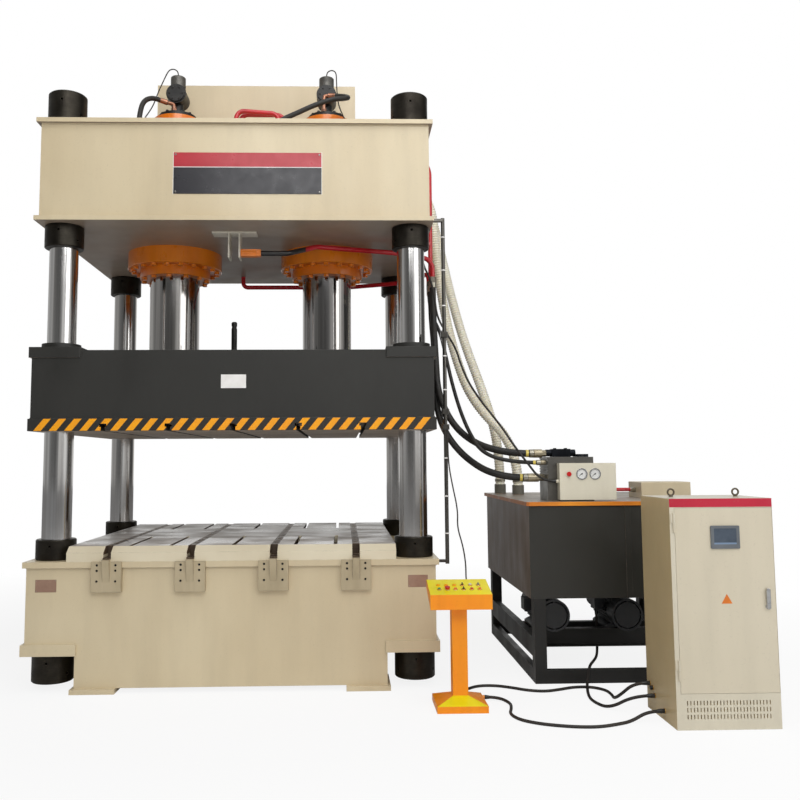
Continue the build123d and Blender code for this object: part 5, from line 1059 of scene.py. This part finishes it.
# Floor, white and soft at the feet; for the camera alone it fades into the white surroundings
FLOOR_REACH, FLOOR_LEVEL = 60.0, -0.001
floor_mesh = bpy.data.meshes.new("floor")
corners = ((-1, -1), (1, -1), (1, 1), (-1, 1))
floor_mesh.from_pydata([(x * FLOOR_REACH, y * FLOOR_REACH, FLOOR_LEVEL) for x, y in corners], [], [(0, 1, 2, 3)])
floor = bpy.data.objects.new("floor", floor_mesh)
scene.collection.objects.link(floor)
floor_mat = bpy.data.materials.new("floor")
floor_mat.use_nodes = True
floor_mesh.materials.append(floor_mat)
floor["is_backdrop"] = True
ground = Tree(floor_mat.node_tree)
surface = ground.tree.nodes["Principled BSDF"]
for key, number in (("Base Color", (0.86, 0.86, 0.86, 1)), ("Roughness", 0.6), ("Specular IOR Level", 0.0)):
    surface.inputs[key].default_value = number
away = ground.add("ShaderNodeVectorMath", operation="LENGTH")
ground.feed(away, ground.add("ShaderNodeTexCoord").outputs["Object"])
fade = ground.remap(away.outputs["Value"], 3.0, 8.0, 0.86, 1.0)
share = ground.times(fade, ground.add("ShaderNodeLightPath").outputs["Is Camera Ray"])
glow = ground.feed(ground.add("ShaderNodeEmission"), (1, 1, 1), 1.0)
blend = ground.feed(ground.add("ShaderNodeMixShader"), share, surface.outputs[0], glow)
ground.link(blend, ground.tree.nodes["Material Output"].inputs["Surface"])

# Surroundings: white to the camera, dim grey for light, and a band of bright and dark panels for reflections
world = bpy.data.worlds.new("studio")
scene.world = world
world.use_nodes = True
sky = Tree(world.node_tree)
sky.tree.nodes.clear()
split = sky.add("ShaderNodeSeparateXYZ")
sky.feed(split, sky.add("ShaderNodeTexCoord").outputs["Generated"])
azimuth = sky.math("ARCTAN2", split.outputs["X"], sky.times(split.outputs["Y"], -1.0))
ramp = sky.add("ShaderNodeValToRGB")
sky.feed(ramp, sky.math("MULTIPLY_ADD", azimuth, 0.5 / pi, 0.5))
panels = ((0.0, 0.95), (0.075, 0.9), (0.12, 0.42), (0.18, 0.5), (0.245, 0.3), (0.31, 0.42), (0.355, 0.2),
          (0.42, 0.13), (0.49, 0.12), (0.535, 0.3), (0.565, 0.75), (0.64, 0.52), (0.69, 1.0), (0.735, 0.55),
          (0.765, 0.1), (0.83, 0.08), (0.88, 0.22), (0.925, 0.9), (1.0, 0.95))
for position, _ in panels[1:-1]:
    ramp.color_ramp.elements.new(position)
for element, (position, level) in zip(ramp.color_ramp.elements, panels):
    element.position = position
    element.color = (level, level, level * 0.985, 1)
ambient = sky.add("ShaderNodeBackground")
ambient.inputs["Strength"].default_value = 0.3
glossy = sky.feed(sky.add("ShaderNodeBackground"), ramp.outputs[0], 0.9)
white = sky.feed(sky.add("ShaderNodeBackground"), (1, 1, 1), 1.0)
rays = sky.add("ShaderNodeLightPath").outputs
lit = sky.feed(sky.add("ShaderNodeMixShader"), rays["Is Glossy Ray"], ambient.outputs[0], glossy)
seen = sky.feed(sky.add("ShaderNodeMixShader"), rays["Is Camera Ray"], lit, white)
sky.link(seen, sky.add("ShaderNodeOutputWorld").inputs["Surface"])


def add_area(name, where, target, size, power):
    data = bpy.data.lights.new(name, "AREA")
    data.shape = "RECTANGLE"
    data.size, data.size_y = size
    data.energy = power
    obj = bpy.data.objects.new(name, data)
    obj.location = where
    obj.rotation_mode = "QUATERNION"
    obj.rotation_quaternion = (Vector(target) - Vector(where)).to_track_quat("-Z", "Y")
    scene.collection.objects.link(obj)
    return obj


add_area("key", (1.5, -11.0, 9.0), (0.5, 0, 2.4), (7, 5), 430)
add_area("fill", (9.5, -9.0, 5.5), (1.5, 0, 2.0), (6, 5), 205)
add_area("top", (1.5, -4.5, 10.5), (1.5, -1.0, 1.0), (9, 5), 310)
low_front = add_area("low_front", (1.0, -11.0, 1.6), (1.0, 0, 1.8), (9, 2.0), 100)
low_front.visible_glossy = False

scene.view_settings.view_transform = "Standard"

low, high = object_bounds()
